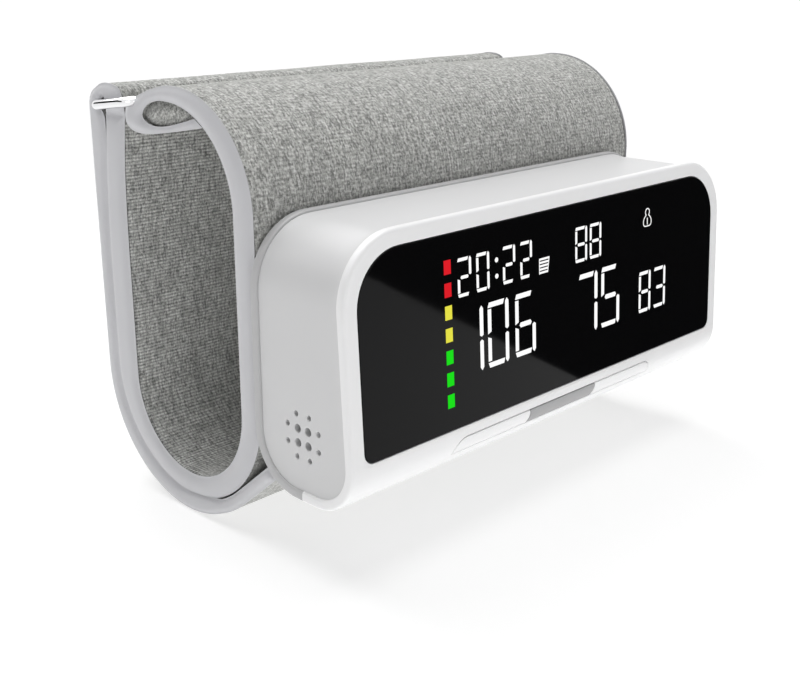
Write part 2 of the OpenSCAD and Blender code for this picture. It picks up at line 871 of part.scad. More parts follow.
// Plunger with a cap that stays clear of the valve's end over its whole travel
module valve_plunger() {
    x1 = valve_x0 + valve_l;
    cap_x = x1 + plunger_travel + 0.6;
    color("lightgray") place() {
        rod_x(plunger_d, x1 - valve_bore_l + plunger_travel + 0.2, cap_x, pump_y, pump_z);
        rod_x(plunger_d + 1.6, cap_x, cap_x + 0.8, pump_y, pump_z);
    }
}

// Saddle on the back cover that holds the valve
bracket_h = 8;
bracket_in = 2.5;

module valve_bracket() {
    y0 = pump_y + valve_w / 2 + 0.1;
    color("black") place() bar_x(valve_x0 + bracket_in, valve_x0 + valve_l - bracket_in) intersection() {
        translate([y0, pump_z - bracket_h / 2]) square([-y0, bracket_h]);
        end_profile(cover_t + seam_gap);
    }
}

// ---- Cuff ----

// Points of an arc about c, from angle a0 to a1 in n steps
function arc(c, r, a0, a1, n) =
    [for (k = [0 : n]) let (a = a0 + (a1 - a0) * k / n) c + r * [cos(a), sin(a)]];
function reversed(v) = [for (k = [len(v) - 1 : -1 : 0]) v[k]];

// Centres and radii of the cuff's rounds
bottom_c = [(cuff_front + cuff_back) / 2, cuff_bottom_r - housing_lift + strap_t + 1.5];
arm_low_z = bottom_c[1] - cuff_bottom_r + bottom_t;
arm_bottom_c = [arm_mid, arm_low_z + arm_bottom_r];
top_r = 26.7;
top_c = [cuff_front + top_r, cuff_top - top_r];
arm_top_r = 23.6;
arm_top_c = [arm_front + arm_top_r, cuff_top - top_t - arm_top_r];
strap_top = 79.2;
neck_out = cuff_back - 2.8;
neck_in = arm_back - 3.2;
sleeve_y = 36;
sleeve_drop = 1.2;

// Outer face of the cuff, inset by t: up the back, round the bottom, up the front and over the top
function outer_path(t) = concat(
    [[neck_out - t, strap_top], [cuff_back - t, strap_top - 24]],
    arc(bottom_c, cuff_bottom_r - t, 0, -180, 20),
    arc(top_c, top_r - t, 180, 90, 12),
    [[arm_top_c[0], cuff_top - t], [sleeve_y, cuff_top - sleeve_drop - t]]
);

// Arm side of the cuff, moved outwards by t, in the same order
function inner_path(t) = concat(
    [[neck_in + t, strap_top], [arm_back + t, strap_top - 18]],
    arc(arm_bottom_c, arm_bottom_r + t, 0, -180, 20),
    arc(arm_top_c, arm_top_r + t, 180, 90, 12),
    [[sleeve_y, cuff_top - top_t - sleeve_drop + t]]
);

layer_w = cuff_w - 1;
sheet_edge = 3;
bag_edge = 9;

module outer_cloth() {
    color("darkgray") place() difference() {
        bar_x(-layer_w / 2, layer_w / 2) polygon(concat(outer_path(0), reversed(outer_path(cloth_t))));
        for (s = [-1, 1], z = plate_z)
            rod_y(plate_boss_d + 0.4, -1, cuff_front + cloth_t + 1, s * plate_x, z);
        rod_y(nozzle_d + 0.4, -1, cuff_front + cloth_t + 1, manifold_x, pump_z);
    }
}

// Thin springy sheet under the outer cloth
module cuff_stiffener() {
    t0 = cloth_t;
    t1 = cloth_t + stiffener_t;
    color("white") place() difference() {
        bar_x(-layer_w / 2 + sheet_edge, layer_w / 2 - sheet_edge)
            polygon(concat(outer_path(t0), reversed(outer_path(t1))));
        for (s = [-1, 1], z = plate_z)
            rod_y(plate_boss_d + 0.4, -1, cuff_front + t1 + 1, s * plate_x, z);
        rod_y(nozzle_d + 0.4, -1, cuff_front + t1 + 1, manifold_x, pump_z);
    }
}

module inner_cloth() {
    color("gray") place()
        bar_x(-layer_w / 2, layer_w / 2) polygon(concat(inner_path(cloth_t), reversed(inner_path(0))));
}

// Flat air bag between the stiffener and the inner cloth, from the top of the back round to the front
bag_top = 48;
function bag_path(outside) = concat(
    [[outside ? cuff_back - cloth_t - stiffener_t - 0.1 : arm_back + cloth_t + 0.1, bag_top]],
    outside ? arc(bottom_c, cuff_bottom_r - cloth_t - stiffener_t - 0.1, 0, -180, 20)
            : arc(arm_bottom_c, arm_bottom_r + cloth_t + 0.1, 0, -180, 20),
    [[outside ? cuff_front + cloth_t + stiffener_t + 0.1 : arm_front - cloth_t - 0.1, bag_top]]
);

module air_bag() {
    color("lightblue") place() difference() {
        bar_x(-layer_w / 2 + bag_edge, layer_w / 2 - bag_edge)
            polygon(concat(bag_path(true), reversed(bag_path(false))));
        rod_y(nozzle_d + 0.2, -1, nozzle_end + 0.3, manifold_x, pump_z);
        rod_y(air_d, -1, nozzle_end + 1.2, manifold_x, pump_z);
        for (s = [-1, 1], z = plate_z)
            rod_y(plate_flange_d + 0.6, -1, plate_y + plate_t + 0.2, s * plate_x, z);
    }
}

plate_boss_d = 5;
plate_flange_d = 9;
plate_t = 1;
plate_head_d = 6;
plate_head_h = 1.4;
plate_y = cuff_front + cloth_t + stiffener_t;

// Four flanged bushes that grip the cuff's sheet and stand in the back cover
module cuff_bushes() {
    color("white") place() for (s = [-1, 1], z = plate_z)
        difference() {
            union() {
                rod_y(plate_boss_d, -cover_t, plate_y + plate_t, s * plate_x, z);
                rod_y(plate_flange_d, plate_y, plate_y + plate_t, s * plate_x, z);
            }
            rod_y(plate_screw_d - 1, -cover_t - 1, plate_y - 0.4, s * plate_x, z);
        }
}

module cuff_screws() {
    color("gray") place() for (s = [-1, 1], z = plate_z)
        mirror([0, 1, 0])
            screw_y(plate_screw_d - 1.2, -plate_y + 1, cover_t, plate_head_d, plate_head_h, s * plate_x, z);
}

// Folded tape over one edge of the cuff
module edge_tape(side) {
    w = cuff_w / 2;
    m = side > 0 ? 0 : 1;
    color("gainsboro") place() mirror([m, 0, 0]) difference() {
        bar_x(w - tape_w, w) polygon(concat(outer_path(-tape_t), reversed(inner_path(-tape_t))));
        bar_x(w - tape_w - 1, layer_w / 2) polygon(concat(outer_path(0), reversed(inner_path(0))));
    }
}

module left_edge_tape() {
    edge_tape(-1);
}

module right_edge_tape() {
    edge_tape(1);
}

// Sewn sleeve that holds the ring's hinge bar, with the tongue that comes back under the top
nose_r = 4.1;
nose_c = [42.6, cuff_top - 7];
ring_y = 43.2;
wire_gap = 0.25;
tongue = [[33.5, 76], [27.8, 77], [18.6, 78.2], [20.2, 80], [28, 78.7], [34, 77.7]];
fold_c = [36.9, 79.5];
fold_r = 1.8;

module ring_sleeve() {
    end_z = cuff_top - sleeve_drop;
    color("darkgray") place() difference() {
        bar_x(-layer_w / 2, layer_w / 2) polygon(concat(
            [[sleeve_y + 0.1, end_z - top_t], [sleeve_y + 0.1, end_z]],
            arc(nose_c, nose_r, 80, -95, 12),
            tongue,
            arc(fold_c, fold_r, -80, 60, 5)
        ));
        rod_x(wire_d + 2 * wire_gap, -cuff_w, cuff_w, ring_y, ring_z);
        for (s = [-1, 1]) translate([s * (ring_half + 2 * wire_d) - 2 * wire_d - 2, sleeve_y + 4, 70])
            cube([4 * wire_d + 4, 12, 20]);
    }
}

// Metal ring: a rounded rectangle of wire about the hinge bar and the strap bar
ring_half = cuff_w / 2 + 0.3 + wire_d / 2;
bend_r = 2.4;

module ring_plane() {
    translate([0, ring_y, ring_z]) rotate([-ring_slope, 0, 0]) children();
}

module cuff_ring() {
    xs = ring_half - bend_r;
    color("silver") place() ring_plane() {
        for (y = [0, ring_reach]) rod_x(wire_d, -xs, xs, y, 0);
        for (s = [-1, 1]) {
            rod_y(wire_d, bend_r, ring_reach - bend_r, s * ring_half, 0);
            for (e = [0, 1]) translate([s * xs, e ? ring_reach - bend_r : bend_r, 0])
                rotate([0, 0, s > 0 ? 90 * e - 90 : 180 - 90 * e])
                    rotate_extrude(angle = 90) translate([bend_r, 0]) circle(d = wire_d, $fn = 32);
        }
    }
}

// ---- Folded-down strap ----

flap_rise = 31.6;
fold_z = 86.2;
flap_tip = 24;

// Cloth strap: over the ring, down the back and round the bottom to the housing
module strap_flap() {
    end_a = -90 - flap_rise;
    down = [-cos(flap_rise), sin(flap_rise)];
    low_out = flap_centre + flap_out_r * [cos(end_a), sin(end_a)];
    low_in = flap_centre + (flap_out_r - strap_t) * [cos(end_a), sin(end_a)];
    outside = concat(
        [[neck_in - 0.2, strap_top + 0.3], [neck_in + 1, fold_z - 1.4]],
        [[neck_in + 3.4, fold_z - 0.2], [neck_in + 9, fold_z]],
        arc([flap_out - 4.6, fold_z - 6], 4.6, 70, 0, 6),
        arc(flap_centre, flap_out_r, 0, end_a, 20),
        [low_out + flap_tip * down]
    );
    inside = concat(
        [low_in + flap_tip * down],
        arc(flap_centre, flap_out_r - strap_t, end_a, 0, 20),
        [[flap_in, fold_z - 7], [flap_in - 0.6, fold_z - 3.9], [flap_in - 3, fold_z - 3.2]],
        [[neck_out + 0.2, fold_z - 3.3], [neck_out, strap_top + 0.3]]
    );
    color("darkgray") place() difference() {
        bar_x(-cuff_w / 2, cuff_w / 2) polygon(concat(outside, inside));
        rod_x(2 * (back_edge_r + 0.3), -housing_l, housing_l, -back_edge_r, back_edge_r);
    }
}

// Hook patch between the strap and the back of the cuff
patch_l = 96;
patch_h = 36;
patch_z = 16;

module hook_patch() {
    color("dimgray") place() translate([-patch_l / 2, cuff_back + 0.1, patch_z])
        cube([patch_l, strap_gap - 0.2, patch_h]);
}

front_cover();
middle_shell();
rear_cover();
case_screws();
display_window();
display_segments();
display_panel();
left_button();
start_button();
right_button();
tact_switches();
button_board();
main_board();
board_chips();
board_screws();
battery_cell();
battery_holder();
speaker();
speaker_gasket();
charge_board();
charge_socket();
pump_motor();
pump_shaft();
pump_head();
pump_cradle();
air_manifold();
air_nozzle();
pressure_sensor();
release_valve();
valve_plunger();
valve_bracket();
outer_cloth();
cuff_stiffener();
air_bag();
inner_cloth();
left_edge_tape();
right_edge_tape();
cuff_bushes();
cuff_screws();
ring_sleeve();
cuff_ring();
strap_flap();
hook_patch();
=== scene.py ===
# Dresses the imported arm-in blood pressure monitor: housing shells with filleted rims, glossy display,
# lit marks, buttons, cloth cuff with bound edges, strap, sleeve and chromed ring.
import math
import bmesh
import bpy
import numpy as np
from mathutils import Matrix, Vector, noise
from mathutils.geometry import delaunay_2d_cdt, intersect_point_line
from mathutils.kdtree import KDTree

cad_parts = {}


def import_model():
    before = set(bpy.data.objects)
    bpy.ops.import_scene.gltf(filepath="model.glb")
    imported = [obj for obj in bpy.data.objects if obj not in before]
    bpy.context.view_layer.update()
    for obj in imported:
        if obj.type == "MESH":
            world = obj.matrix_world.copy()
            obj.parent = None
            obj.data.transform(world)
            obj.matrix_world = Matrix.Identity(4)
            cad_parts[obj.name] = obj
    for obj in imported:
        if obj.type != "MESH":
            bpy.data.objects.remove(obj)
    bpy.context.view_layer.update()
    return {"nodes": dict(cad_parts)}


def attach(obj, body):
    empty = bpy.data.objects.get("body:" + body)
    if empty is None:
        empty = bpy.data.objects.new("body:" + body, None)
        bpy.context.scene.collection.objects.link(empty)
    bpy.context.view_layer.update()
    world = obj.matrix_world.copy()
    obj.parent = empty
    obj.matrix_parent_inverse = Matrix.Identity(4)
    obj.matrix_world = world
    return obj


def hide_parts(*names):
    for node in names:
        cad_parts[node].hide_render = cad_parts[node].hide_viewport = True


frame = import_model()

# ---- Sizes, in millimetres: y from the housing's back plane, z from its underside ----
MM = 0.001
BACK_Y, LIFT = -15.4, 18.2
HALF_L, HOUSING_H, HOUSING_D = 73.8, 61.6, 32.4
LEAN = math.radians(3.5)
CORNER_R, FRONT_R, BACK_R = 16.0, 11.7, 14.0
STEP = 1.0
COVER_WALL, TURNED_IN = 0.35, 1.6
SEAM_Y, SEAM_GAP = -16.0, 0.1
# top of the ends' straight part, centres of the two lower rounds, and the way round the front one
TOP_Z = HOUSING_H - CORNER_R
FRONT_C = (FRONT_R - HOUSING_D, FRONT_R)
BACK_C = (-BACK_R, BACK_R)
QUARTER = (math.pi / 2 + LEAN) * FRONT_R
# foot of the flat display face
FACE_Y = FRONT_C[0] - FRONT_R * math.cos(LEAN)
FACE_Z = FRONT_C[1] + FRONT_R * math.sin(LEAN)
EDGE_R, FILLET = 0.8, 0.25
WINDOW_GAP = 0.15
WINDOW_L, WINDOW_H, WINDOW_R, WINDOW_LOW_R, WINDOW_T = 139.6, 45.3, 12.5, 2.6, 1.6
WINDOW_LOW = (12.6 - FACE_Z) / math.cos(LEAN)
BAR_L, BAR_H, BAR_R, BAR_A = 81.4, 4.4, 4.0, math.radians(21)
START_L, BULGE, GAP = 27.0, 0.8, 0.2
CAP_T, CAP_FILLET = 2.2, 0.22
CUFF_W, TAPE_W, TAPE_T, TAPE_PROUD = 144.4, 0.8, 0.2, 0.25
CUFF_FRONT, ARM_FRONT, ARM_BACK, CUFF_BACK = 0.6, 7.3, 50.4, 58.6
FLAP_IN, FLAP_OUT = 60.0, 63.2
CUFF_TOP, TOP_T, CLOTH_T = 87.2, 3.3, 1.1
STRAP_TOP, STRAP_T = 79.2, 3.2
RING_Y, RING_Z, RING_SLOPE, RING_REACH = 43.2, 82.8, math.radians(7.5), 15.0
WIRE_D, WIRE_CUTS, RING_GAP, RING_CORNER_R = 2.4, 20, 0.3, 2.4


def row(p):
    """A point of the housing's frame, in millimetres, in the row frame, in metres."""
    return (p[0] * MM, (p[1] + BACK_Y) * MM, (p[2] + LIFT) * MM)


def face_at(z):
    """Where the leaning display face is at a height."""
    return FACE_Y + (z - FACE_Z) * math.tan(LEAN)


def on_face(x, up, inward):
    """A point given along the display face and inwards from it."""
    c, s = math.cos(LEAN), math.sin(LEAN)
    return (x, FACE_Y + inward * c + up * s, FACE_Z - inward * s + up * c)


def on_edge(x, up, depth):
    """A point on the lower front edge, in the button bar's frame, sunk by a depth."""
    r = FRONT_R - depth
    a = math.asin(max(-1, min(1, up / FRONT_R)))
    out, rise = r * math.cos(a), r * math.sin(a)
    c, s = math.cos(BAR_A), math.sin(BAR_A)
    return (x, FRONT_C[0] - out * c - rise * s, FRONT_C[1] - out * s + rise * c)


# ---- Building meshes ----

def arc(c, r, a0, a1, n):
    """Points of an arc about c, from angle a0 to a1 in degrees."""
    return [(c[0] + r * math.cos(math.radians(a0 + (a1 - a0) * k / n)),
             c[1] + r * math.sin(math.radians(a0 + (a1 - a0) * k / n))) for k in range(n + 1)]


def rounding(n):
    """Quarter round of radius 1 in n steps: how deep each point lies, and how far in from the wall."""
    turns = [math.pi / 2 * k / n for k in range(n + 1)]
    return [(1 - math.cos(a), 1 - math.sin(a)) for a in turns]


def spread(a, b, n):
    """n points from a to b, without the two ends."""
    return [tuple(p + (q - p) * k / (n + 1) for p, q in zip(a, b)) for k in range(1, n + 1)]


def dense(a, b):
    """Points between a and b, about 3 mm apart."""
    return spread(a, b, int(math.dist(a, b) / 3))


def area(loop):
    """Area of a closed outline, negative where it runs clockwise."""
    return sum(p[0] * q[1] - q[0] * p[1] for p, q in zip(loop, loop[1:] + loop[:1])) / 2


# keeps the corners of an inset outline from shooting out, and merges points of one piece (in metres)
SHARPEST, WELD = 0.35, 4e-6


def inset(loop, d):
    """A closed outline moved inwards by d, one value or one for each point."""
    n = len(loop)
    ds = d if hasattr(d, "__len__") else [d] * n
    side = 1 if area(loop) > 0 else -1
    out = []
    for k in range(n):
        a, b, c = (Vector(loop[(k + m) % n][:2]) for m in (-1, 0, 1))
        u, v = (b - a).normalized(), (c - b).normalized()
        nu, nv = Vector((-u.y, u.x)) * side, Vector((-v.y, v.x)) * side
        m = nu + nv
        m = m / max(SHARPEST, m.length_squared / 2)
        p = b + m * ds[k]
        out.append((p.x, p.y))
    return out


def inside(p, loop):
    """Whether a point is inside a closed outline."""
    hit = False
    for a, b in zip(loop, loop[1:] + loop[:1]):
        if (a[1] > p[1]) == (b[1] > p[1]):
            continue
        if p[0] < (b[0] - a[0]) * (p[1] - a[1]) / (b[1] - a[1]) + a[0]:
            hit = not hit
    return hit


def fill(outer, holes=(), grid=None, more=()):
    """Triangles between an outline and its holes, with a grid or more points inside for curved places."""
    pts, edges = [], []
    for loop in [outer, *holes]:
        k = len(pts)
        pts += [Vector(p[:2]) for p in loop]
        edges += [(k + j, k + (j + 1) % len(loop)) for j in range(len(loop))]
    if grid:
        xs, ys, clear = grid
        walls = [(pts[a], pts[b]) for a, b in edges]
        for x in xs:
            for y in ys:
                p = Vector((x, y))
                if not inside(p, outer) or any(inside(p, h) for h in holes):
                    continue
                near = min((p - a.lerp(b, max(0, min(1, intersect_point_line(p, a, b)[1])))).length
                           for a, b in walls)
                if near > clear:
                    pts.append(p)
    pts += [Vector(p) for p in more]
    v, _, f, *_ = delaunay_2d_cdt(pts, edges, [], 0, 1e-6)
    keep = []
    for t in f:
        mid = sum((v[k] for k in t), Vector((0, 0))) / len(t)
        if inside(mid, outer) and not any(inside(mid, h) for h in holes):
            keep.append(tuple(t))
    return [tuple(p) for p in v], keep


class Build:
    """Collects faces of one piece, in the housing's frame, and turns them into an object."""

    def __init__(self, name, material, slot):
        self.name, self.material, self.slot = name, material, slot
        self.verts, self.faces = [], []

    def add(self, verts, faces):
        """Adds points, and faces that count from the first of them."""
        k = len(self.verts)
        self.verts += [tuple(v) for v in verts]
        self.faces += [tuple(k + j for j in f) for f in faces]

    def rows(self, rows, closed=False, closed_ends=False):
        """Quads between successive rows of points."""
        n = len(rows[0])
        faces = []
        for i in range(len(rows) if closed_ends else len(rows) - 1):
            this, after = i * n, (i + 1) % len(rows) * n
            for j in range(n if closed else n - 1):
                beside = (j + 1) % n
                faces.append((this + j, this + beside, after + beside, after + j))
        self.add([p for r in rows for p in r], faces)

    def filled(self, outer, holes, place, grid=None, more=()):
        """Triangles inside an outline, each of whose points place() puts in space."""
        v, f = fill(outer, holes, grid, more)
        self.add([place(*p) for p in v], f)

    def finish(self, body="monitor", replaces=(), weld=True, solid=0.0, flat=False, weighted=True,
               uv=None):
        """Makes the object, and gives it its body and the nodes that it replaces."""
        mesh = bpy.data.meshes.new(self.name)
        mesh.from_pydata([row(v) for v in self.verts], [], self.faces)
        b = bmesh.new()
        b.from_mesh(mesh)
        if weld:
            bmesh.ops.remove_doubles(b, verts=b.verts, dist=WELD)
            bmesh.ops.dissolve_degenerate(b, edges=b.edges, dist=WELD / 4)
        bmesh.ops.recalc_face_normals(b, faces=b.faces)
        b.to_mesh(mesh)
        b.free()
        if uv:
            layer = mesh.uv_layers.new(name="cloth")
            for poly in mesh.polygons:
                for loop in poly.loop_indices:
                    co = mesh.vertices[mesh.loops[loop].vertex_index].co
                    layer.data[loop].uv = uv(co)
        mesh.materials.append(self.material)
        if not flat:
            mesh.shade_smooth()
        obj = bpy.data.objects.new(self.name, mesh)
        bpy.context.scene.collection.objects.link(obj)
        if solid:
            m = obj.modifiers.new("wall", "SOLIDIFY")
            m.thickness = solid * MM
            m.offset = -1
        if weighted and not flat:
            m = obj.modifiers.new("normals", "WEIGHTED_NORMAL")
            m.keep_sharp = True
            m.weight = 100
        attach(obj, body)
        if replaces:
            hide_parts(*replaces)
        return obj


# ---- Materials ----

def material(name, color, rough, metallic=0.0, specular=0.5):
    """A plain material, whose nodes the functions below add to."""
    m = bpy.data.materials.new(name)
    m.use_nodes = True
    b = m.node_tree.nodes["Principled BSDF"]
    b.inputs["Base Color"].default_value = (*color, 1)
    b.inputs["Roughness"].default_value = rough
    b.inputs["Metallic"].default_value = metallic
    b.inputs["Specular IOR Level"].default_value = specular
    return m


class Nodes:
    """Short names for building a material's nodes."""

    def __init__(self, mat):
        self.tree = mat.node_tree
        self.shader = self.tree.nodes["Principled BSDF"]

    def new(self, kind, props=None, **inputs):
        """A node whose inputs are given by name, with _ for a space, or by place, as n0 or n1."""
        n = self.tree.nodes.new(kind)
        for k, v in (props or {}).items():
            setattr(n, k, v)
        for k, v in inputs.items():
            label = k.replace("_", " ")
            s = n.inputs[label] if label in n.inputs else n.inputs[int(k[1:])]
            if isinstance(v, bpy.types.NodeSocket):
                self.tree.links.new(v, s)
            else:
                s.default_value = v
        return n

    def link(self, a, name):
        """Joins a socket to an input of the shader."""
        self.tree.links.new(a, self.shader.inputs[name])

    def ramp(self, fac, stops):
        """A color ramp; each stop is a place and a gray or a color."""
        n = self.new("ShaderNodeValToRGB")
        self.tree.links.new(fac, n.inputs[0])
        e = n.color_ramp.elements
        while len(e) < len(stops):
            e.new(0.5)
        for k, (pos, c) in enumerate(stops):
            e[k].position = pos
            e[k].color = (*c, 1) if hasattr(c, "__len__") else (c, c, c, 1)
        return n.outputs[0]

    def mix(self, fac, a, b, blend="MIX"):
        """A mix of two colors."""
        n = self.new("ShaderNodeMix", {"data_type": "RGBA", "blend_type": blend})
        for s, v in ((n.inputs[0], fac), (n.inputs[6], a), (n.inputs[7], b)):
            if isinstance(v, bpy.types.NodeSocket):
                self.tree.links.new(v, s)
            else:
                s.default_value = (*v, 1) if hasattr(v, "__len__") else v
        return n.outputs[2]

    def math(self, op, a, b=0.0):
        """One math step on values or sockets."""
        n = self.new("ShaderNodeMath", {"operation": op})
        for s, v in ((n.inputs[0], a), (n.inputs[1], b)):
            if isinstance(v, bpy.types.NodeSocket):
                self.tree.links.new(v, s)
            else:
                s.default_value = v
        return n.outputs[0]

    def bump(self, height, strength, distance):
        """Relief of the surface, its distance in metres."""
        n = self.new("ShaderNodeBump", Strength=strength, Distance=distance, Height=height)
        self.link(n.outputs[0], "Normal")

    def noise(self, scale, detail):
        """Noise in the object's own space, in cells per metre."""
        at = self.new("ShaderNodeTexCoord").outputs["Object"]
        return self.new("ShaderNodeTexNoise", Vector=at, Scale=scale, Detail=detail).outputs[0]


def plastic(name, color, rough, grain=0.06, specular=0.5):
    """Moulded plastic: a fine satin grain, and slow changes of tone and gloss."""
    m = material(name, color, rough, specular=specular)
    t = Nodes(m)
    slow, fine = t.noise(35.0, 3.0), t.noise(2600.0, 2.0)
    t.link(t.mix(slow, tuple(c * 0.965 for c in color), color), "Base Color")
    t.link(t.math("ADD", t.math("MULTIPLY", slow, 0.08), rough - 0.04), "Roughness")
    t.bump(fine, grain, 0.00004)
    return m


LOOP_W = 1.3


def knit(name, dark, mid, light, rib, period):
    """Heather knit: flecked threads drawn out round the cuff, crossed by rows of loops, one each period."""
    m = material(name, mid, 0.92, specular=0.2)
    t = Nodes(m)
    t.shader.inputs["Sheen Weight"].default_value = 0.2
    t.shader.inputs["Sheen Roughness"].default_value = 0.6
    uv = t.new("ShaderNodeUVMap", {"uv_map": "cloth"}).outputs[0]

    def stretched(across, along_it, detail):
        """Noise whose flecks are so many millimetres across and along the way round the cuff."""
        at = t.new("ShaderNodeMapping", Vector=uv, Scale=(1 / across, 1 / along_it, 1)).outputs[0]
        return t.new("ShaderNodeTexNoise", Vector=at, Scale=1.0, Detail=detail, Roughness=0.6).outputs[0]

    fleck = stretched(0.5, 0.8, 2.0)
    thread = stretched(0.75, 3.2, 3.0)
    cross = stretched(2.4, 0.6, 2.0)
    cloud = stretched(7.0, 22.0, 3.0)
    streak = stretched(1.6, 9.0, 2.0)
    x, way, _ = t.new("ShaderNodeSeparateXYZ", Vector=uv).outputs
    rows = t.math("SINE", t.math("MULTIPLY", way, 2 * math.pi / period))
    cols = t.math("SINE", t.math("MULTIPLY", x, 2 * math.pi / LOOP_W))
    tone = t.math("MULTIPLY", fleck, 0.42)
    tone = t.math("ADD", tone, t.math("MULTIPLY", thread, 0.36))
    tone = t.math("ADD", tone, t.math("MULTIPLY", cross, 0.22))
    color = t.ramp(tone, [(0.41, dark), (0.5, mid), (0.59, light)])
    color = t.mix(1.0, color, t.ramp(cloud, [(0.35, 0.88), (0.65, 1.0)]), "MULTIPLY")
    color = t.mix(1.0, color, t.ramp(streak, [(0.38, 1.0 - rib / 2), (0.5, 1.0)]), "MULTIPLY")
    lines = t.ramp(t.math("ADD", t.math("MULTIPLY", rows, 0.5), 0.5), [(0.0, 1 - rib), (0.7, 1.0)])
    color = t.mix(1.0, color, lines, "MULTIPLY")
    # the shaded crease beside the binding
    edge = t.math("SUBTRACT", CUFF_W / 2 - TAPE_W, t.math("ABSOLUTE", x))
    color = t.mix(1.0, color, t.ramp(edge, [(0.0, 0.16), (0.2, 0.25), (0.45, 1.0)]), "MULTIPLY")
    t.link(color, "Base Color")
    loops = t.math("MULTIPLY", t.math("MULTIPLY", rows, cols), 0.16)
    loops = t.math("ADD", loops, t.math("MULTIPLY", rows, rib))
    t.bump(t.math("ADD", t.math("MULTIPLY", fleck, 1.2), loops), 0.5, 0.00028)
    return m


def emitting(name, color, strength=1.0):
    """A lit mark, slightly uneven."""
    m = material(name, (0, 0, 0), 0.4, specular=0.0)
    t = Nodes(m)
    t.link(t.mix(t.noise(900.0, 1.0), tuple(c * 0.96 for c in color), color), "Emission Color")
    t.shader.inputs["Emission Strength"].default_value = strength
    return m


WHITE = plastic("white_shell", (0.88, 0.88, 0.885), 0.34)
# painted shade: the middle shell and the rear cover take darker copies of the white plastic, standing in
# for the shade on the ends, the top and the rear rim
PAINTED_SHADE_SHELL = plastic("shell_painted_shade", (0.65, 0.65, 0.655), 0.42)
PAINTED_SHADE_REAR = plastic("rear_painted_shade", (0.49, 0.49, 0.495), 0.42)
CAP_WHITE = plastic("white_cap", (0.87, 0.87, 0.875), 0.34)
CAP_GRAY = plastic("gray_cap", (0.37, 0.37, 0.375), 0.45)
GLASS = plastic("window_black", (0.003, 0.003, 0.0033), 0.05, grain=0.0, specular=0.13)
DARK = plastic("dark_parts", (0.03, 0.03, 0.032), 0.5)
LIT_WHITE = emitting("lit_white", (1, 1, 1), 1.05)
LIT = {"red": emitting("lit_red", (0.745, 0.0144, 0.023)),
       "yellow": emitting("lit_yellow", (0.807, 0.768, 0.068)),
       "green": emitting("lit_green", (0.013, 0.76, 0.013))}
OUTER = knit("outer_knit", (0.20, 0.202, 0.192), (0.44, 0.443, 0.422), (0.74, 0.743, 0.722), 0.12, 0.95)
# painted light: the lining's tones are raised to stand in for light that reaches inside the loop
LINING = knit("lining_knit", (0.30, 0.302, 0.290), (0.69, 0.693, 0.67), (0.97, 0.972, 0.95), 0.42, 0.85)


def tape_material():
    """Smooth woven tape."""
    m = material("binding", (0.56, 0.56, 0.58), 0.55, specular=0.35)
    t = Nodes(m)
    t.shader.inputs["Sheen Weight"].default_value = 0.3
    t.link(t.mix(t.noise(60.0, 2.0), (0.53, 0.53, 0.55), (0.58, 0.58, 0.60)), "Base Color")
    t.bump(t.noise(1800.0, 2.0), 0.12, 0.00006)
    return m


TAPE = tape_material()


def chrome():
    """Polished wire whose gloss varies a little."""
    m = material("ring_chrome", (0.82, 0.82, 0.83), 0.06, metallic=1.0)
    t = Nodes(m)
    t.link(t.math("ADD", t.math("MULTIPLY", t.noise(120.0, 2.0), 0.06), 0.03), "Roughness")
    return m


CHROME = chrome()


# ---- Housing ----

TOP_CUTS, LEAN_CUTS, COLUMNS, FOOT_CUTS = 40, 7, 36, 16
# how far in from the front or back, and how far below the rim, each hoop of a rim lies
RIM_STEP = [(1.4, 0), (1.9, 0.02), (2.2, 0.1), (2.4, 0.24), (2.5, 0.5), (2.5, 1.7)]
SHELL_IN, SHELL_LOW, SHELL_CURVE = 2.6, 0.62, 3.4


def arch(i):
    """Front view of the housing's top at an inset: left corner, top edge, right corner."""
    c, r = (HALF_L - CORNER_R, TOP_Z), CORNER_R - i
    left = arc((-c[0], c[1]), r, 180, 90, 14)
    right = arc(c, r, 90, 0, 14)
    return left + spread(left[-1], right[0], TOP_CUTS) + right


def end_curve(t):
    """End view below the upper corners, inset by t: down the face, round below and up the back."""
    rf, rb = FRONT_R - t, BACK_R - t
    front = arc(FRONT_C, rf, 180 - math.degrees(LEAN), 270, FOOT_CUTS)
    back = arc(BACK_C, rb, 270, 360, FOOT_CUTS)
    top = (front[0][0] + (TOP_Z - front[0][1]) * math.tan(LEAN), TOP_Z)
    seam = [(SEAM_Y - SEAM_GAP / 2, t), (SEAM_Y + SEAM_GAP / 2, t)]
    down, up = spread(top, front[0], LEAN_CUTS), spread(back[-1], (-t, TOP_Z), LEAN_CUTS)
    return down + front + seam + back + up


def hoop(t, i):
    """Closed loop round the side of the housing, t in from the front and back and i below the rims."""
    over = arch(i)
    ends = end_curve(t)
    loop = [(x, face_at(z) + t / math.cos(LEAN), z) for x, z in over]
    loop += [(HALF_L - i, y, z) for y, z in ends]
    loop += [(x, -t, z) for x, z in reversed(over)]
    loop += [(i - HALF_L, y, z) for y, z in reversed(ends)]
    return loop


def rim_levels():
    """Hoops of a cover: the rounded edge, and the rim down to the shell's step."""
    return [(EDGE_R * c, EDGE_R * s) for c, s in rounding(5)] + RIM_STEP


def add_hoops(b, levels, keep):
    """Quads between hoops, where keep(quad) holds."""
    hoops = [hoop(*lv) for lv in levels]
    n = len(hoops[0])
    for lo, hi in zip(hoops, hoops[1:]):
        for j in range(n):
            q = [lo[j], lo[(j + 1) % n], hi[(j + 1) % n], hi[j]]
            if keep(q):
                b.add(q, [(0, 1, 2, 3)])


def in_front(q):
    """Whether a quad belongs to the front cover."""
    return all(p[1] < SEAM_Y for p in q)


def behind(q):
    """Whether a quad belongs to the rear cover."""
    return all(p[1] > SEAM_Y for p in q)


def columns():
    """Even places along X between the covers' rounded edges."""
    x = HALF_L - EDGE_R
    return [-x + 2 * x * k / COLUMNS for k in range(COLUMNS + 1)]


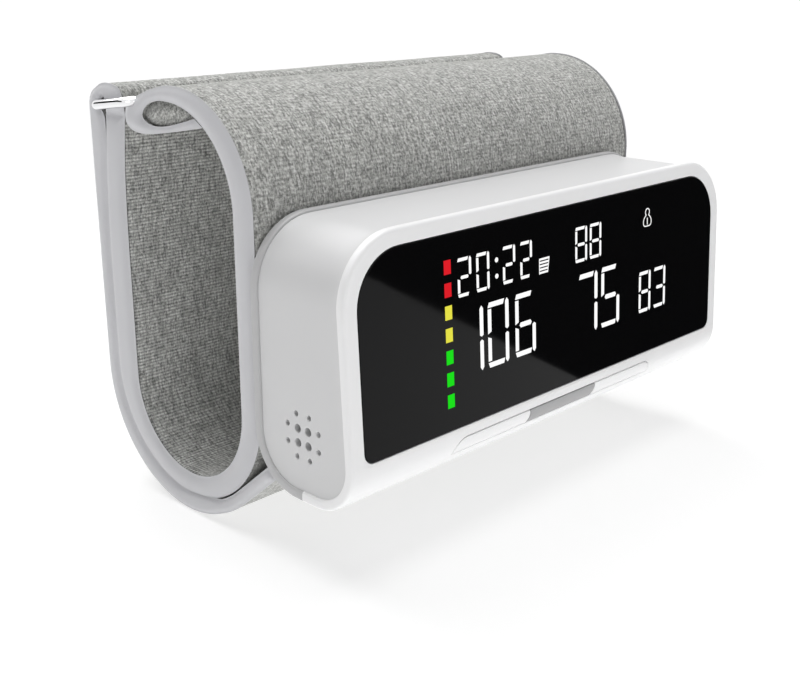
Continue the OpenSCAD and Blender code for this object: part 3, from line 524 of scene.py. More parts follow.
def window_loop(g):
    """Outline of the window, larger by g, along the face."""
    h, z0, z1 = WINDOW_L / 2 + g, WINDOW_LOW - g, WINDOW_LOW + WINDOW_H + g
    rt, rl = WINDOW_R + g, WINDOW_LOW_R + g
    return (arc((-h + rl, z0 + rl), rl, 180, 270, 8) + arc((h - rl, z0 + rl), rl, 270, 360, 8)
            + arc((h - rt, z1 - rt), rt, 0, 90, 16) + arc((-h + rt, z1 - rt), rt, 90, 180, 16))


def bar_loop(g):
    """Outline of the button bar's opening, larger by g: rounded above and square below."""
    h, top, r = BAR_L / 2 + g, BAR_H / 2 + g, BAR_R + g
    right = arc((h - r, top - r), r, 90, 0, 10)
    left = arc((-h + r, top - r), r, 180, 90, 10)
    flat = [(h, -top), (-h, -top)]
    return (left + dense(left[-1], right[0]) + right + dense(right[-1], flat[0]) + [flat[0]]
            + dense(flat[0], flat[1]) + [flat[1]] + dense(flat[1], left[0]))


def edge_angle(up):
    """Way along the lower front edge from the face's foot, for a height in the bar's frame."""
    a = math.pi + BAR_A - math.asin(up / FRONT_R)
    return (a - (math.pi - LEAN)) * FRONT_R


def from_way(x, s):
    """A point on the lower front edge or the underside, s along it from the face's foot."""
    if s <= QUARTER:
        a = math.pi - LEAN + s / FRONT_R
        return (x, FRONT_C[0] + FRONT_R * math.cos(a), FRONT_C[1] + FRONT_R * math.sin(a))
    return (x, FRONT_C[0] + s - QUARTER, 0.0)


def front_cover():
    """Rims, display face, and lower front edge with the opening for the buttons."""
    b = Build("front_cover_shell", WHITE, "white_plastic")
    add_hoops(b, rim_levels(), in_front)
    xs = columns()
    # the flat face, in its own plane
    ups = [(z - FACE_Z) / math.cos(LEAN) for y, z in end_curve(0)[:LEAN_CUTS]]
    outer = ([(x, (z - FACE_Z) / math.cos(LEAN)) for x, z in arch(EDGE_R)] + [(xs[-1], u) for u in ups]
             + [(x, 0.0) for x in reversed(xs)] + [(xs[0], u) for u in reversed(ups)])
    b.filled(outer, [window_loop(WINDOW_GAP + FILLET)], lambda x, u: on_face(x, u, 0))
    rows = [[on_face(x, u, FILLET * c) for x, u in window_loop(WINDOW_GAP + FILLET * s)]
            for c, s in rounding(3)]
    rows.append([on_face(x, u, WINDOW_T) for x, u in window_loop(WINDOW_GAP)])
    b.rows(rows, closed=True)
    # the lower front edge and underside, with the opening for the buttons
    end = QUARTER + SEAM_Y - SEAM_GAP / 2 - FRONT_C[0]
    ways = [QUARTER * k / FOOT_CUTS for k in range(FOOT_CUTS + 1)] + [end]
    rect = ([(x, 0.0) for x in xs] + [(xs[-1], s) for s in ways[1:-1]]
            + [(x, end) for x in reversed(xs)] + [(xs[0], s) for s in reversed(ways[1:-1])])
    hole = [(x, edge_angle(u)) for x, u in bar_loop(FILLET)]
    b.filled(rect, [hole], from_way, (xs[1:-1], [QUARTER * k / 24 for k in range(1, 24)], 0.35))
    rows = [[on_edge(x, u, FILLET * c) for x, u in bar_loop(FILLET * s)] for c, s in rounding(3)]
    rows.append([on_edge(x, u, CAP_T) for x, u in bar_loop(0)])
    b.rows(rows, closed=True)
    # the edge turned in at the seam
    y = SEAM_Y - SEAM_GAP / 2
    b.rows([[(x, y, z) for x in xs] for z in (0, TURNED_IN)])
    b.finish(replaces=["front_cover"], solid=COVER_WALL)


def rear_cover():
    """Rims, back plate and lower back edge."""
    # its darker grey is painted shade on the white plastic
    b = Build("rear_cover_shell", PAINTED_SHADE_REAR, "rim_gray")
    add_hoops(b, rim_levels(), behind)
    xs = columns()
    side_z = [z for y, z in end_curve(0)[-LEAN_CUTS:]]
    outer = (arch(EDGE_R) + [(xs[-1], z) for z in reversed(side_z)] + [(x, BACK_R) for x in reversed(xs)]
             + [(xs[0], z) for z in side_z])
    b.filled(outer, [], lambda x, z: (x, 0.0, z))
    y = SEAM_Y + SEAM_GAP / 2
    profile = [(y, TURNED_IN), (y, 0.0)] + arc(BACK_C, BACK_R, 270, 360, FOOT_CUTS)
    b.rows([[(x, *q) for x in xs] for q in profile])
    b.finish(replaces=["rear_cover"], solid=COVER_WALL)


def shell_levels():
    """Hoops of the middle shell: up beside the rim, and in with a soft edge to its full step."""
    out = [(2.36, RIM_STEP[-1][1]), (2.36, SHELL_LOW), (SHELL_IN, SHELL_LOW)]
    for k in range(1, 9):
        f = k / 8
        out.append((SHELL_IN + SHELL_CURVE * f, STEP - (STEP - SHELL_LOW) * (1 - f) ** 2.2))
    return out


# Openings in the ends: the grille's big and small holes, and the socket
GRILLE, BIG_AT, BIG_R, SMALL_AT, SMALL_R = (-15.6, 15.1), 1.7, 1.0, 5.5, 0.65
SOCKET, SOCKET_W, SOCKET_T = (-14.5, 33.0), 9.4, 3.7
HOLE_FILLET, HOLE_DEPTH = 0.22, 1.8


def circle(c, r, n=20):
    """Closed outline of n points round c."""
    return arc(c, r, 0, 360 * (n - 1) / n, n - 1)


def slot_loop(c, w, t):
    """Upright slot with round ends."""
    h, r = (w - t) / 2, t / 2
    return arc((c[0], c[1] + h), r, 0, 180, 10) + arc((c[0], c[1] - h), r, 180, 360, 10)


def middle_shell():
    """Top and ends below the rims, with the grille at the left and the socket at the right."""
    # its grey is painted shade on the white plastic
    b = Build("middle_shell_skin", PAINTED_SHADE_SHELL, "shell_gray")
    levels = shell_levels()
    add_hoops(b, levels, lambda q: True)
    t, i = levels[-1]
    over = arch(i)
    front = [(x, face_at(z) + t / math.cos(LEAN), z) for x, z in over]
    back = [(x, -t, z) for x, z in over]
    cuts = 8
    b.rows([[tuple(p + (q - p) * k / cuts for p, q in zip(f, g)) for f, g in zip(front, back)]
            for k in range(cuts + 1)])
    ends = end_curve(t)
    f0, b0 = (front[0][1], TOP_Z), (-t, TOP_Z)
    closing = [tuple(p + (q - p) * k / cuts for p, q in zip(b0, f0)) for k in range(cuts + 1)]
    outer = ends + closing
    holes = [((GRILLE[0] + y, GRILLE[1] + z), BIG_R)
             for y in (-BIG_AT, BIG_AT) for z in (-BIG_AT, BIG_AT)]
    holes += [(c, SMALL_R) for c in arc(GRILLE, SMALL_AT, 22.5, 337.5, 7)]
    for side in (-1, 1):
        x = side * (HALF_L - i)
        if side < 0:
            loops = [lambda d, c=c, r=r: circle(c, r + d) for c, r in holes]
        else:
            loops = [lambda d: slot_loop(SOCKET, SOCKET_W + 2 * d, SOCKET_T + 2 * d)]
        f = HOLE_FILLET
        b.filled(outer, [lp(f) for lp in loops], lambda y, z, x=x: (x, y, z))
        for lp in loops:
            rows = [[(x - side * f * c, y, z) for y, z in lp(f * s)] for c, s in rounding(3)]
            rows.append([(x - side * HOLE_DEPTH, y, z) for y, z in lp(0)])
            b.rows(rows, closed=True)
    b.finish(replaces=["middle_shell"])


def plate(b, loop, place, t, f, grid=None):
    """A closed plate of thickness t with upper edges rounded by f, set in space by place(x, y, depth)."""
    b.filled(inset(loop, f), [], lambda x, y: place(x, y, 0), grid)
    rows = [[place(x, y, f * c) for x, y in inset(loop, f * s)] for c, s in rounding(3)]
    rows.append([place(x, y, t) for x, y in loop])
    b.rows(rows, closed=True)
    b.filled(loop, [], lambda x, y: place(x, y, t), grid)


WINDOW_SUNK, WINDOW_FILLET = 0.02, 0.12


def display_window():
    """The glossy window, flush with the bezel."""
    b = Build("display_glass", GLASS, "window_black")
    plate(b, window_loop(0), lambda x, u, d: on_face(x, u, d + WINDOW_SUNK), WINDOW_T - 0.1, WINDOW_FILLET)
    b.finish(replaces=["display_window"])


# ---- Buttons ----

JOINT_R = ((BAR_H / 2) ** 2 + BULGE ** 2) / (2 * BULGE)
JOINT_EASE, JOINT_CUTS = 0.6, 6
CAP_XS, CAP_UPS = [-45 + 1.5 * k for k in range(61)], [-1.6 + 0.4 * k for k in range(9)]


def joint(x):
    """Curve between two buttons, from below to above, bulging to the right."""
    h, r = BAR_H / 2 - GAP, JOINT_R + JOINT_EASE
    ups = [-h + 2 * h * k / JOINT_CUTS for k in range(JOINT_CUTS + 1)]
    return [(x + BULGE - JOINT_R + math.sqrt(r ** 2 - u * u) - JOINT_EASE, u) for u in ups]


def button_loop(x0, x1):
    """Outline of one button; an open end takes the bar's rounded corner."""
    h, top, r = BAR_L / 2 - GAP, BAR_H / 2 - GAP, BAR_R - GAP
    left = [(-h, -top)] + arc((-h + r, top - r), r, 180, 90, 10) if x0 is None else joint(x0)
    right = arc((h - r, top - r), r, 90, 0, 10) + [(h, -top)] if x1 is None else joint(x1)[::-1]
    return left + dense(left[-1], right[0]) + right + dense(right[-1], left[0])


def buttons():
    """Three caps that follow the lower front edge."""
    half, gap = START_L / 2, GAP / 2
    spans = {"left": (None, -half - gap), "start": (-half + gap, half - gap), "right": (half + gap, None)}
    for name, (x0, x1) in spans.items():
        mat, slot = (CAP_GRAY, "gray_button") if name == "start" else (CAP_WHITE, "white_button")
        b = Build(name + "_button_cap", mat, slot)
        plate(b, button_loop(x0, x1), on_edge, CAP_T, CAP_FILLET, (CAP_XS, CAP_UPS, 0.3))
        b.finish(body=name + "_button", replaces=[name + "_button"])


# ---- Lit marks ----

def seven(value, x, z, h, w, t):
    """Strokes of a lit digit whose left side is at x and foot at z, each a closed outline."""
    g, m = 0.3 * t, h / 2
    inner, mid = w - t - g, t + g
    strokes = {
        "a": [(0, h - t), (inner - 0.4 * t, h - t), (inner, h), (0.4 * t, h)],
        "d": [(0.4 * t, 0), (inner - 0.3 * t, 0), (inner, t), (0, t)],
        "g": [(mid, m), (mid + 0.35 * t, m - t / 2), (inner - 0.35 * t, m - t / 2), (inner, m),
              (inner - 0.35 * t, m + t / 2), (mid + 0.35 * t, m + t / 2)],
        "b": [(w - t, m + g + 0.3 * t), (w - t / 2, m + g), (w, m + g + 0.3 * t), (w, h - 0.6 * t),
              (w - t / 2, h), (w - t, h - 0.6 * t)],
        "c": [(w - t, 0.6 * t), (w - t / 2, 0), (w, 0.6 * t), (w, m - g - 0.3 * t), (w - t / 2, m - g),
              (w - t, m - g - 0.3 * t)],
        "f": [(0, m + g), (t, m + g + 0.4 * t), (t, h - t - g), (0, h - t - g)],
        "e": [(0, t + g), (t, t + g), (t, m - g - 0.4 * t), (0, m - g)],
    }
    lit = {0: "abcdef", 1: "bc", 2: "abged", 3: "abgcd", 4: "fgbc", 5: "afgcd", 6: "afgedc", 7: "abc",
           8: "abcdefg", 9: "abcdfg"}[value]
    return [[(x + p, z + q) for p, q in strokes[k]] for k in lit]


def drawn(path, t):
    """A line of width t along a path, as one outline for each of its stretches."""
    loops = []
    for a, b in zip(path, path[1:]):
        d = (Vector(b) - Vector(a)).normalized() * t / 2
        loops.append([(a[0] - d.x + d.y, a[1] - d.y - d.x), (b[0] + d.x + d.y, b[1] + d.y - d.x),
                      (b[0] + d.x - d.y, b[1] + d.y + d.x), (a[0] - d.x - d.y, a[1] - d.y + d.x)])
    return loops


# Digits on the display: value, left side, foot above the window's foot, height, width, stroke
DIGITS = [(2, -39.1, 30.4, 8.9, 4.6, 0.75), (0, -32.75, 30.4, 8.9, 4.5, 0.75),
          (2, -23.4, 30.4, 8.9, 4.5, 0.75), (2, -17.0, 30.4, 8.9, 4.4, 0.75),
          (8, 4.7, 30.4, 8.9, 4.9, 0.75), (8, 10.8, 30.4, 8.9, 4.9, 0.75),
          (1, -38.3, 11.7, 15.4, 7.5, 1.2), (0, -29.15, 11.6, 15.6, 7.5, 1.2),
          (6, -19.15, 11.7, 15.4, 7.7, 1.2), (7, 6.25, 11.4, 15.7, 7.9, 1.25),
          (5, 15.9, 11.3, 15.9, 8.1, 1.2), (8, 33.3, 11.5, 11.2, 5.6, 0.9),
          (3, 40.6, 11.5, 11.2, 5.6, 0.9)]
MARK_PROUD, MARK_DEEP = 0.02, 0.06
LEVELS = "green green green yellow yellow red red"
LEVEL_X, LEVEL_Z, LEVEL_STEP, LEVEL_W, LEVEL_H = -43.55, 7.1, 5.15, 2.25, 3.2


def lit_marks():
    """Clock, count, readings and signs in white, and the level bar in three colours."""
    z0 = WINDOW_LOW
    white = []
    for value, x, z, h, w, t in DIGITS:
        white += seven(value, x, z0 + z, h, w, t)
    for z in (32.9, 36.7):
        white.append(circle((-25.65, z0 + z), 0.58, 16))
    # battery sign: a slanted cell with bars
    for k in range(5):
        z, w = z0 + 30.35 + 0.82 * k, 3.2 + 0.16 * k
        white.append([(-9.8, z), (-9.8 + w, z), (-9.75 + w, z + 0.5), (-9.8, z + 0.5)])
    for foot, head in ((-9.75, -9.75), (-6.55, -5.95)):
        white += drawn([(foot, z0 + 30.4), (head, z0 + 34.0)], 0.22)
    # wearer sign: the outline of a head over shoulders, with one plain stroke in it
    c, low = (36.85, z0 + 38.55), z0 + 34.9
    body = [(36.2, z0 + 37.75), (35.25, z0 + 37.0), (34.9, z0 + 35.9), (35.3, low), (36.85, low - 0.1),
            (38.4, low), (38.8, z0 + 35.9), (38.45, z0 + 37.0), (37.5, z0 + 37.75)]
    white += drawn(arc(c, 0.95, -50, 230, 16), 0.26) + drawn(smooth(body, 2), 0.26)
    white += drawn([(36.85, z0 + 35.4), (36.85, z0 + 36.9)], 0.3)
    sets = {"lit_marks": (white, LIT_WHITE, "lit_marks")}
    for k, c in enumerate(LEVELS.split()):
        x1, z, h = LEVEL_X + LEVEL_W, z0 + LEVEL_Z + LEVEL_STEP * k, LEVEL_H / 2
        loop = [(LEVEL_X, z - h), (x1, z - h), (x1, z + h), (LEVEL_X, z + h)]
        sets.setdefault("level_" + c, ([], LIT[c], "lit_marks"))[0].append(loop)
    for name, (loops, mat, slot) in sets.items():
        b = Build(name, mat, slot)
        for lp in loops:
            n = len(lp)
            top = [on_face(x, u, -MARK_PROUD) for x, u in lp]
            foot = [on_face(x, u, MARK_DEEP) for x, u in lp]
            b.add(top + foot, [tuple(range(n)), tuple(reversed(range(n, 2 * n)))]
                  + [(j, j + n, (j + 1) % n + n, (j + 1) % n) for j in range(n)])
        b.finish(flat=True, weld=False)


# ---- Cuff ----

# its own arcs: below, round the arm opening, and at the upper front; then sleeve, strap and neck
BOTTOM_C = ((CUFF_FRONT + CUFF_BACK) / 2, (CUFF_BACK - CUFF_FRONT) / 2 - LIFT + STRAP_T + 1.5)
BOTTOM_R = (CUFF_BACK - CUFF_FRONT) / 2
ARM_R = (ARM_BACK - ARM_FRONT) / 2
ARM_C = ((ARM_FRONT + ARM_BACK) / 2, BOTTOM_C[1] - BOTTOM_R + 5.3 + ARM_R)
TOP_R, ARM_TOP_R = 26.7, 23.6
TOP_C = (CUFF_FRONT + TOP_R, CUFF_TOP - TOP_R)
ARM_TOP_C = (ARM_FRONT + ARM_TOP_R, CUFF_TOP - TOP_T - ARM_TOP_R)
SLEEVE_Y, SLEEVE_DROP, SLEEVE_T = 36.0, 1.2, 2.55
VOID_TOP = (33.4, 83.95)
FLAP_R = 32.2
FLAP_C = (FLAP_OUT - FLAP_R, FLAP_R - LIFT)
FLAP_RISE, FLAP_TIP, FOLD_Z, FOLD_R = 40.5, 16.0, 86.2, 4.6
STRAP_OFF, FLAP_OFF = 0.25, 0.8
NECK_OUT, NECK_IN = CUFF_BACK - 2.8, ARM_BACK - 2.4


def outer_path(t):
    """Section of the cuff's outside, t inwards: down behind, round below, up in front to the sleeve."""
    return ([(NECK_OUT - t, STRAP_TOP), (CUFF_BACK - t, STRAP_TOP - 24)]
            + arc(BOTTOM_C, BOTTOM_R - t, 0, -180, 44) + arc(TOP_C, TOP_R - t, 180, 90, 26)
            + [(ARM_TOP_C[0], CUFF_TOP - t), (SLEEVE_Y, CUFF_TOP - SLEEVE_DROP - t)])


def inner_path(t):
    """Section of the arm opening, t outwards, running the same way as the outside."""
    return ([(NECK_IN + t, STRAP_TOP), (ARM_BACK + t, STRAP_TOP - 18)]
            + arc(ARM_C, ARM_R + t, 0, -180, 44) + arc(ARM_TOP_C, ARM_TOP_R + t, 180, 90, 26)
            + [(VOID_TOP[0], VOID_TOP[1] + t), (SLEEVE_Y, CUFF_TOP - SLEEVE_T - SLEEVE_DROP + t)])


def smooth(path, times=3):
    """Corner cutting that keeps an open path's two ends."""
    for _ in range(times):
        new = [path[0]]
        for a, b in zip(path, path[1:]):
            new += [tuple(p * 0.75 + q * 0.25 for p, q in zip(a, b)),
                    tuple(p * 0.25 + q * 0.75 for p, q in zip(a, b))]
        path = new + [path[-1]]
    return path


def even(path, step):
    """An open path resampled at an even step."""
    ways = [0.0]
    for a, b in zip(path, path[1:]):
        ways.append(ways[-1] + math.dist(a, b))
    n = max(1, round(ways[-1] / step))
    out, k = [], 0
    for j in range(n + 1):
        w = ways[-1] * j / n
        while k < len(ways) - 2 and ways[k + 1] < w:
            k += 1
        f = (w - ways[k]) / max(1e-9, ways[k + 1] - ways[k])
        out.append(tuple(p + (q - p) * f for p, q in zip(path[k], path[k + 1])))
    return out


def along(path, step=1.6):
    """A path with its corners rounded, in even steps."""
    return even(smooth(path), step)


def band_loop(outside, inner_side, step=1.6):
    """Closed outline of a layer between two open paths that run the same way."""
    return along(outside, step) + list(reversed(along(inner_side, step)))


def way_uv(loop):
    """Maps a point of a swept piece to cloth coordinates: along X, and along the section's outline."""
    ways = [0.0]
    for a, b in zip(loop, loop[1:]):
        ways.append(ways[-1] + math.dist(a, b))
    tree = KDTree(len(loop))
    for k, p in enumerate(loop):
        tree.insert((p[0], p[1], 0), k)
    tree.balance()

    def uv(co):
        y, z = co.y / MM - BACK_Y, co.z / MM - LIFT
        k = tree.find((y, z, 0))[1]
        n = len(loop)
        best, way = 1e9, 0
        for a in ((k - 1) % n, k):
            p, q = Vector(loop[a]), Vector(loop[(a + 1) % n])
            d = q - p
            f = max(0, min(1, (Vector((y, z)) - p).dot(d) / max(1e-9, d.length_squared)))
            gap = (p + d * f - Vector((y, z))).length
            if gap < best:
                best, way = gap, ways[a] + d.length * f
        return (co.x / MM, way)
    return uv


FLAT = [(0.0, 0.0), (1.0, 0.0)]
CREASE = [(-0.12, 0.36), (0.05, 0.36), (0.25, 0.3), (0.55, 0.1), (1.1, 0.02), (2.0, 0.0)]


def sweep(b, loop, end, step=3.0, wave=0.0, seed=0.0, crease=CREASE):
    """A closed outline swept along X to both ends, slightly uneven, and creased beside the bindings."""
    inner = end - crease[-1][0]
    n = max(1, round(2 * inner / step))
    places = [(-end + d, dip) for d, dip in crease[:-1]]
    places += [(-inner + 2 * inner * k / n, 0.0) for k in range(n + 1)]
    places += [(end - d, dip) for d, dip in reversed(crease[:-1])]
    rows = []
    for x, dip in places:
        d = [dip - wave * noise.noise(Vector((x * 0.045 + seed, y * 0.05, z * 0.05))) for y, z in loop]
        rows.append([(x, y, z) for y, z in inset(loop, d)])
    b.rows(rows, closed=True)
    for ring in (rows[0], rows[-1]):
        x = ring[0][0]
        b.filled([(p[1], p[2]) for p in ring], [], lambda y, z, x=x: (x, y, z))


def room(points, loop):
    """Distance of each point from a closed outline."""
    p, a = np.array(points)[:, None], np.array(loop)[None]
    d = np.roll(a, -1, 1) - a
    f = np.clip(((p - a) * d).sum(2) / np.maximum((d * d).sum(2), 1e-12), 0, 1)
    return np.sqrt(((p - a - f[..., None] * d) ** 2).sum(2)).min(1)


def binding(name, loop, side, replaces=(), round_r=0.4, crown=0.85, slope=2.3):
    """Folded tape over one edge: an outline swept to an end face that swells towards its middle."""
    b = Build(name, TAPE, "edge_fabric")
    grown = inset(loop, -TAPE_T)
    w = CUFF_W / 2
    start = w - TAPE_W
    # the wrap's edge on the cloth, then its side, rounded over to the end face
    rows = []
    for d, x in ((TAPE_T + 0.3, start + 0.04), (0.14, start), (0.04, start + 0.04), (0.0, start + 0.1)):
        rows.append([(side * x, y, z) for y, z in inset(grown, d)])
    flat = w + TAPE_PROUD - crown
    for k in range(6):
        a = math.pi / 2 * k / 5
        x = side * (flat - (flat - start - 0.12) * (1 - math.sin(a)))
        rows.append([(x, y, z) for y, z in inset(grown, round_r * (1 - math.cos(a)))])
    b.rows(rows, closed=True)
    outer = inset(grown, round_r)
    more = []
    for d in (0.35, 0.8, 1.4, 2.1, 2.9, 3.8):
        ring = even(inset(grown, round_r + d), 1.1)
        far = room(ring, grown)
        more += [p for p, g in zip(ring, far) if g > (round_r + d) * 0.97 and inside(p, outer)]

    def swell(y, z):
        """Height of the end face, from how far a point is inside its outline."""
        g = max(0.0, float(room([(y, z)], grown)[0]) - round_r) / slope
        return (side * (flat + crown * (1 - (1 - min(1.0, g)) ** 2)), y, z)

    b.filled(outer, [], swell, more=more)
    x = rows[0][0][0]
    b.filled([(p[1], p[2]) for p in rows[0]], [], lambda y, z: (x, y, z))
    b.finish(replaces=replaces, weighted=False)


def sleeve_outline():
    """Outside and inside of the cloth round the hinge bar, down to the tongue's tip."""
    end_z = CUFF_TOP - SLEEVE_DROP
    outside = [(SLEEVE_Y + 0.1, end_z), (38.5, 85.3), (40.8, 84.4), (45.0, 83.1), (47.2, 80.9),
               (47.7, 78.4), (46.6, 76.7), (43.9, 75.75), (39.3, 75.6), (33.6, 76.4), (27.2, 77.4),
               (21.0, 78.5), (17.5, 79.1)]
    inner = [(SLEEVE_Y + 0.1, end_z - SLEEVE_T), (37.4, 83.0), (39.2, 82.1), (40.8, 80.1),
             (40.4, 79.0), (38.9, 78.1), (36.4, 77.5), (33.3, 77.55), (29.3, 78.2), (23.7, 79.55),
             (20.0, 80.6)]
    return even(smooth(outside), 0.5), even(smooth(inner), 0.5)


def strap_outline():
    """Outside and inside of the strap, from the neck over the ring and down to its free end."""
    # it leaves its own arc for one round the cuff, and then rises straight behind the housing
    r_in, a = BOTTOM_R + FLAP_OFF, math.radians(FLAP_RISE)
    up = (-math.cos(a) * FLAP_TIP, math.sin(a) * FLAP_TIP)
    low_in = arc(BOTTOM_C, r_in, -114, -90 - FLAP_RISE, 8)
    low_out = arc(BOTTOM_C, r_in + STRAP_T, -114, -90 - FLAP_RISE, 8)
    ends = [[(q[-1][0] + up[0], q[-1][1] + up[1])] for q in (low_out, low_in)]
    outside = ([(NECK_IN, STRAP_TOP + 0.3), (NECK_IN + 1, FOLD_Z - 1.4),
                (NECK_IN + 3.4, FOLD_Z - 0.2), (NECK_IN + 9, FOLD_Z)]
               + arc((FLAP_OUT - FOLD_R, FOLD_Z - 6), FOLD_R, 70, 0, 8)
               + arc(FLAP_C, FLAP_R, 0, -112, 50) + low_out + ends[0])
    inner = ([(NECK_OUT, STRAP_TOP + 0.3), (NECK_OUT + 0.2, FOLD_Z - 3.3), (FLAP_IN - 3, FOLD_Z - 3.2),
              (FLAP_IN - 1.2, FOLD_Z - 4.1), (FLAP_IN - 1.6, FOLD_Z - 7),
              (NECK_OUT + 0.45, STRAP_TOP - 0.8), (CUFF_BACK + STRAP_OFF, STRAP_TOP - 24)]
             + arc(BOTTOM_C, BOTTOM_R + STRAP_OFF, 0, -84, 38) + low_in + ends[1])
    return outside, inner


def core_uv(co):
    """Cloth coordinates of the flat core, in millimetres, turned by 60 degrees."""
    return (500 * co.y + 870 * co.z - 80, -870 * co.y + 500 * co.z)


def cuff():
    """Cloth layers, sleeve and strap, and the tape bound over their edges."""
    end = CUFF_W / 2 - TAPE_W

    def layer(name, mat, slot, loop, replaces, padded, cut=0.0, uv=None, **how):
        b = Build(name, mat, slot)
        sweep(b, loop, end - cut, **how)
        o = b.finish(replaces=replaces, uv=uv or way_uv(loop), weighted=False)

    layer("cuff_outer_cloth", OUTER, "outer_fabric", band_loop(outer_path(0), outer_path(CLOTH_T)),
          ["outer_cloth"], True, wave=0.25)
    layer("cuff_lining", LINING, "inner_fabric", band_loop(inner_path(CLOTH_T), inner_path(0)),
          ["inner_cloth"], True, wave=0.3, seed=9.0)
    s_out, s_in = sleeve_outline()
    layer("ring_sleeve_cloth", OUTER, "outer_fabric", band_loop(s_out, s_in, 0.9), ["ring_sleeve"], True,
          wave=0.15, seed=4.0)
    # the sleeve's core shows as a cloth face just inside the teardrop
    core = even(s_in, 0.9) + arc(ARM_TOP_C, ARM_TOP_R, 116, 90, 12) + [VOID_TOP]
    layer("ring_sleeve_core", OUTER, "outer_fabric", inset(core, 0.3), [], True, cut=0.7, crease=FLAT,
          uv=core_uv)
    st_out, st_in = strap_outline()
    st_loop = band_loop(st_out, st_in, 1.2)
    layer("strap_cloth", OUTER, "outer_fabric", st_loop, ["strap_flap"], False, wave=0.2, seed=2.0)
    # one tape goes round the cuff, the sleeve and its tongue
    tape_loop = band_loop(outer_path(0)[:-1] + s_out[1:], inner_path(0)[:-1] + s_in[1:], 1.0)
    for side, name in ((-1, "left"), (1, "right")):
        binding(name + "_binding", tape_loop, side, replaces=[name + "_edge_tape"])
        binding("strap_" + name + "_binding", st_loop, side, round_r=0.45, crown=0.8, slope=1.4)


def ring():
    """Closed loop of round wire with rounded corners."""
    half, r = CUFF_W / 2 + RING_GAP + WIRE_D / 2, RING_CORNER_R
    c, s = math.cos(RING_SLOPE), math.sin(RING_SLOPE)
    flat = (arc((half - r, r), r, -90, 0, 10) + arc((half - r, RING_REACH - r), r, 0, 90, 10)
            + arc((-half + r, RING_REACH - r), r, 90, 180, 10) + arc((-half + r, r), r, 180, 270, 10))
    b = Build("ring_wire", CHROME, "ring_chrome")
    rows = []
    n = len(flat)
    for k in range(n):
        a, p, q = Vector(flat[k - 1]), Vector(flat[k]), Vector(flat[(k + 1) % n])
        d = (q - a).normalized()
        out = Vector((d.y, -d.x))
        rowp = []
        for j in range(WIRE_CUTS):
            w = 2 * math.pi * j / WIRE_CUTS
            u = p + out * (WIRE_D / 2 * math.cos(w))
            h = WIRE_D / 2 * math.sin(w)
            rowp.append((u.x, RING_Y + u.y * c + h * s, RING_Z - u.y * s + h * c))
        rows.append(rowp)
    b.rows(rows, closed=True, closed_ends=True)
    b.finish(body="ring", replaces=["cuff_ring"], weighted=False)


# ---- Carried-over CAD nodes, all of them inside ----

def inner_materials():
    """Gives each inner node of the CAD the look of what it is made of."""
    board = plastic("board", (0.02, 0.10, 0.05), 0.35)
    steel = plastic("steel", (0.55, 0.55, 0.56), 0.3)
    steel.node_tree.nodes["Principled BSDF"].inputs["Metallic"].default_value = 1.0
    pale = plastic("pale_plastic", (0.72, 0.72, 0.70), 0.5)
    cell = plastic("cell_sleeve", (0.06, 0.16, 0.40), 0.3)
    look = {"board": board, "steel": steel, "pale": pale, "cell": cell, "dark": DARK, "lit": LIT_WHITE}
    kinds = {
        "board": ["main_board", "button_board", "charge_board"],
        "steel": ["case_screws", "board_screws", "cuff_screws", "charge_socket", "pump_motor", "pump_shaft",
                  "valve_plunger"],
        "pale": ["display_panel", "air_manifold", "air_nozzle", "pressure_sensor", "cuff_bushes",
                 "cuff_stiffener", "air_bag"],
        "cell": ["battery_cell"],
        "lit": ["display_segments"],
        "dark": ["tact_switches", "board_chips", "battery_holder", "speaker", "speaker_gasket", "pump_head",
                 "pump_cradle", "release_valve", "valve_bracket", "hook_patch"],
    }
    for kind, names in kinds.items():
        for n in names:
            mesh = frame["nodes"][n].data
            mesh.materials.clear()
            mesh.materials.append(look[kind])


# ---- Stage, light and camera ----

# Brightness of the world and of the table where only diffuse light sees them
WORLD, TABLE = 0.06, 0.62
# The floor, in metres: its height, and where the object's shadow on it begins and ends to fade
FLOOR_Z, SHADE_NEAR, SHADE_FAR = -0.00025, 0.16, 0.6
# Its own glow near the object, what it gains far away, and how much light it takes near the object
GLOW_NEAR, GLOW_GAIN, SHADE_SHARE = 0.66, 0.36, 0.42
# The photo's camera, solved from the corners of the display window
CAMERA_RIGHT, CAMERA_UP = Vector((0.6984, -0.7157, 0.0018)), Vector((0.2220, 0.2190, 0.9501))
CAMERA_AHEAD, CAMERA_AT = Vector((0.6804, 0.6632, -0.3118)), Vector((-0.2252, -0.2092, 0.1321))
CAMERA_LENS = 51.97
AIM = (0, 0, 0.05)
# Lamps: place, size and power
LAMPS = {"top": ((0.0, 0.1, 1.1), (1.0, 1.0), 11.5), "back": ((0.1, 0.7, 0.8), (0.8, 0.8), 4.5),
         "fill": ((-0.85, -0.66, 0.3), (0.6, 0.6), 1.0), "front": ((0.25, -1.0, 0.16), (0.8, 0.3), 1.3)}
CARDS = {"floor_card": [(0.066, -0.06, 0.0005), (1.06, -2.0, 0.0005), (3.5, -2.0, 0.0005),
                        (3.5, -0.06, 0.0005)],
         "back_card": [(-1.7, 0.3, 0.25), (-0.4, 1.6, 0.25), (-0.4, 1.6, 0.75), (-1.7, 0.3, 0.75)]}
CARD = material("black_card", (0.002, 0.002, 0.002), 1.0, specular=0.0)


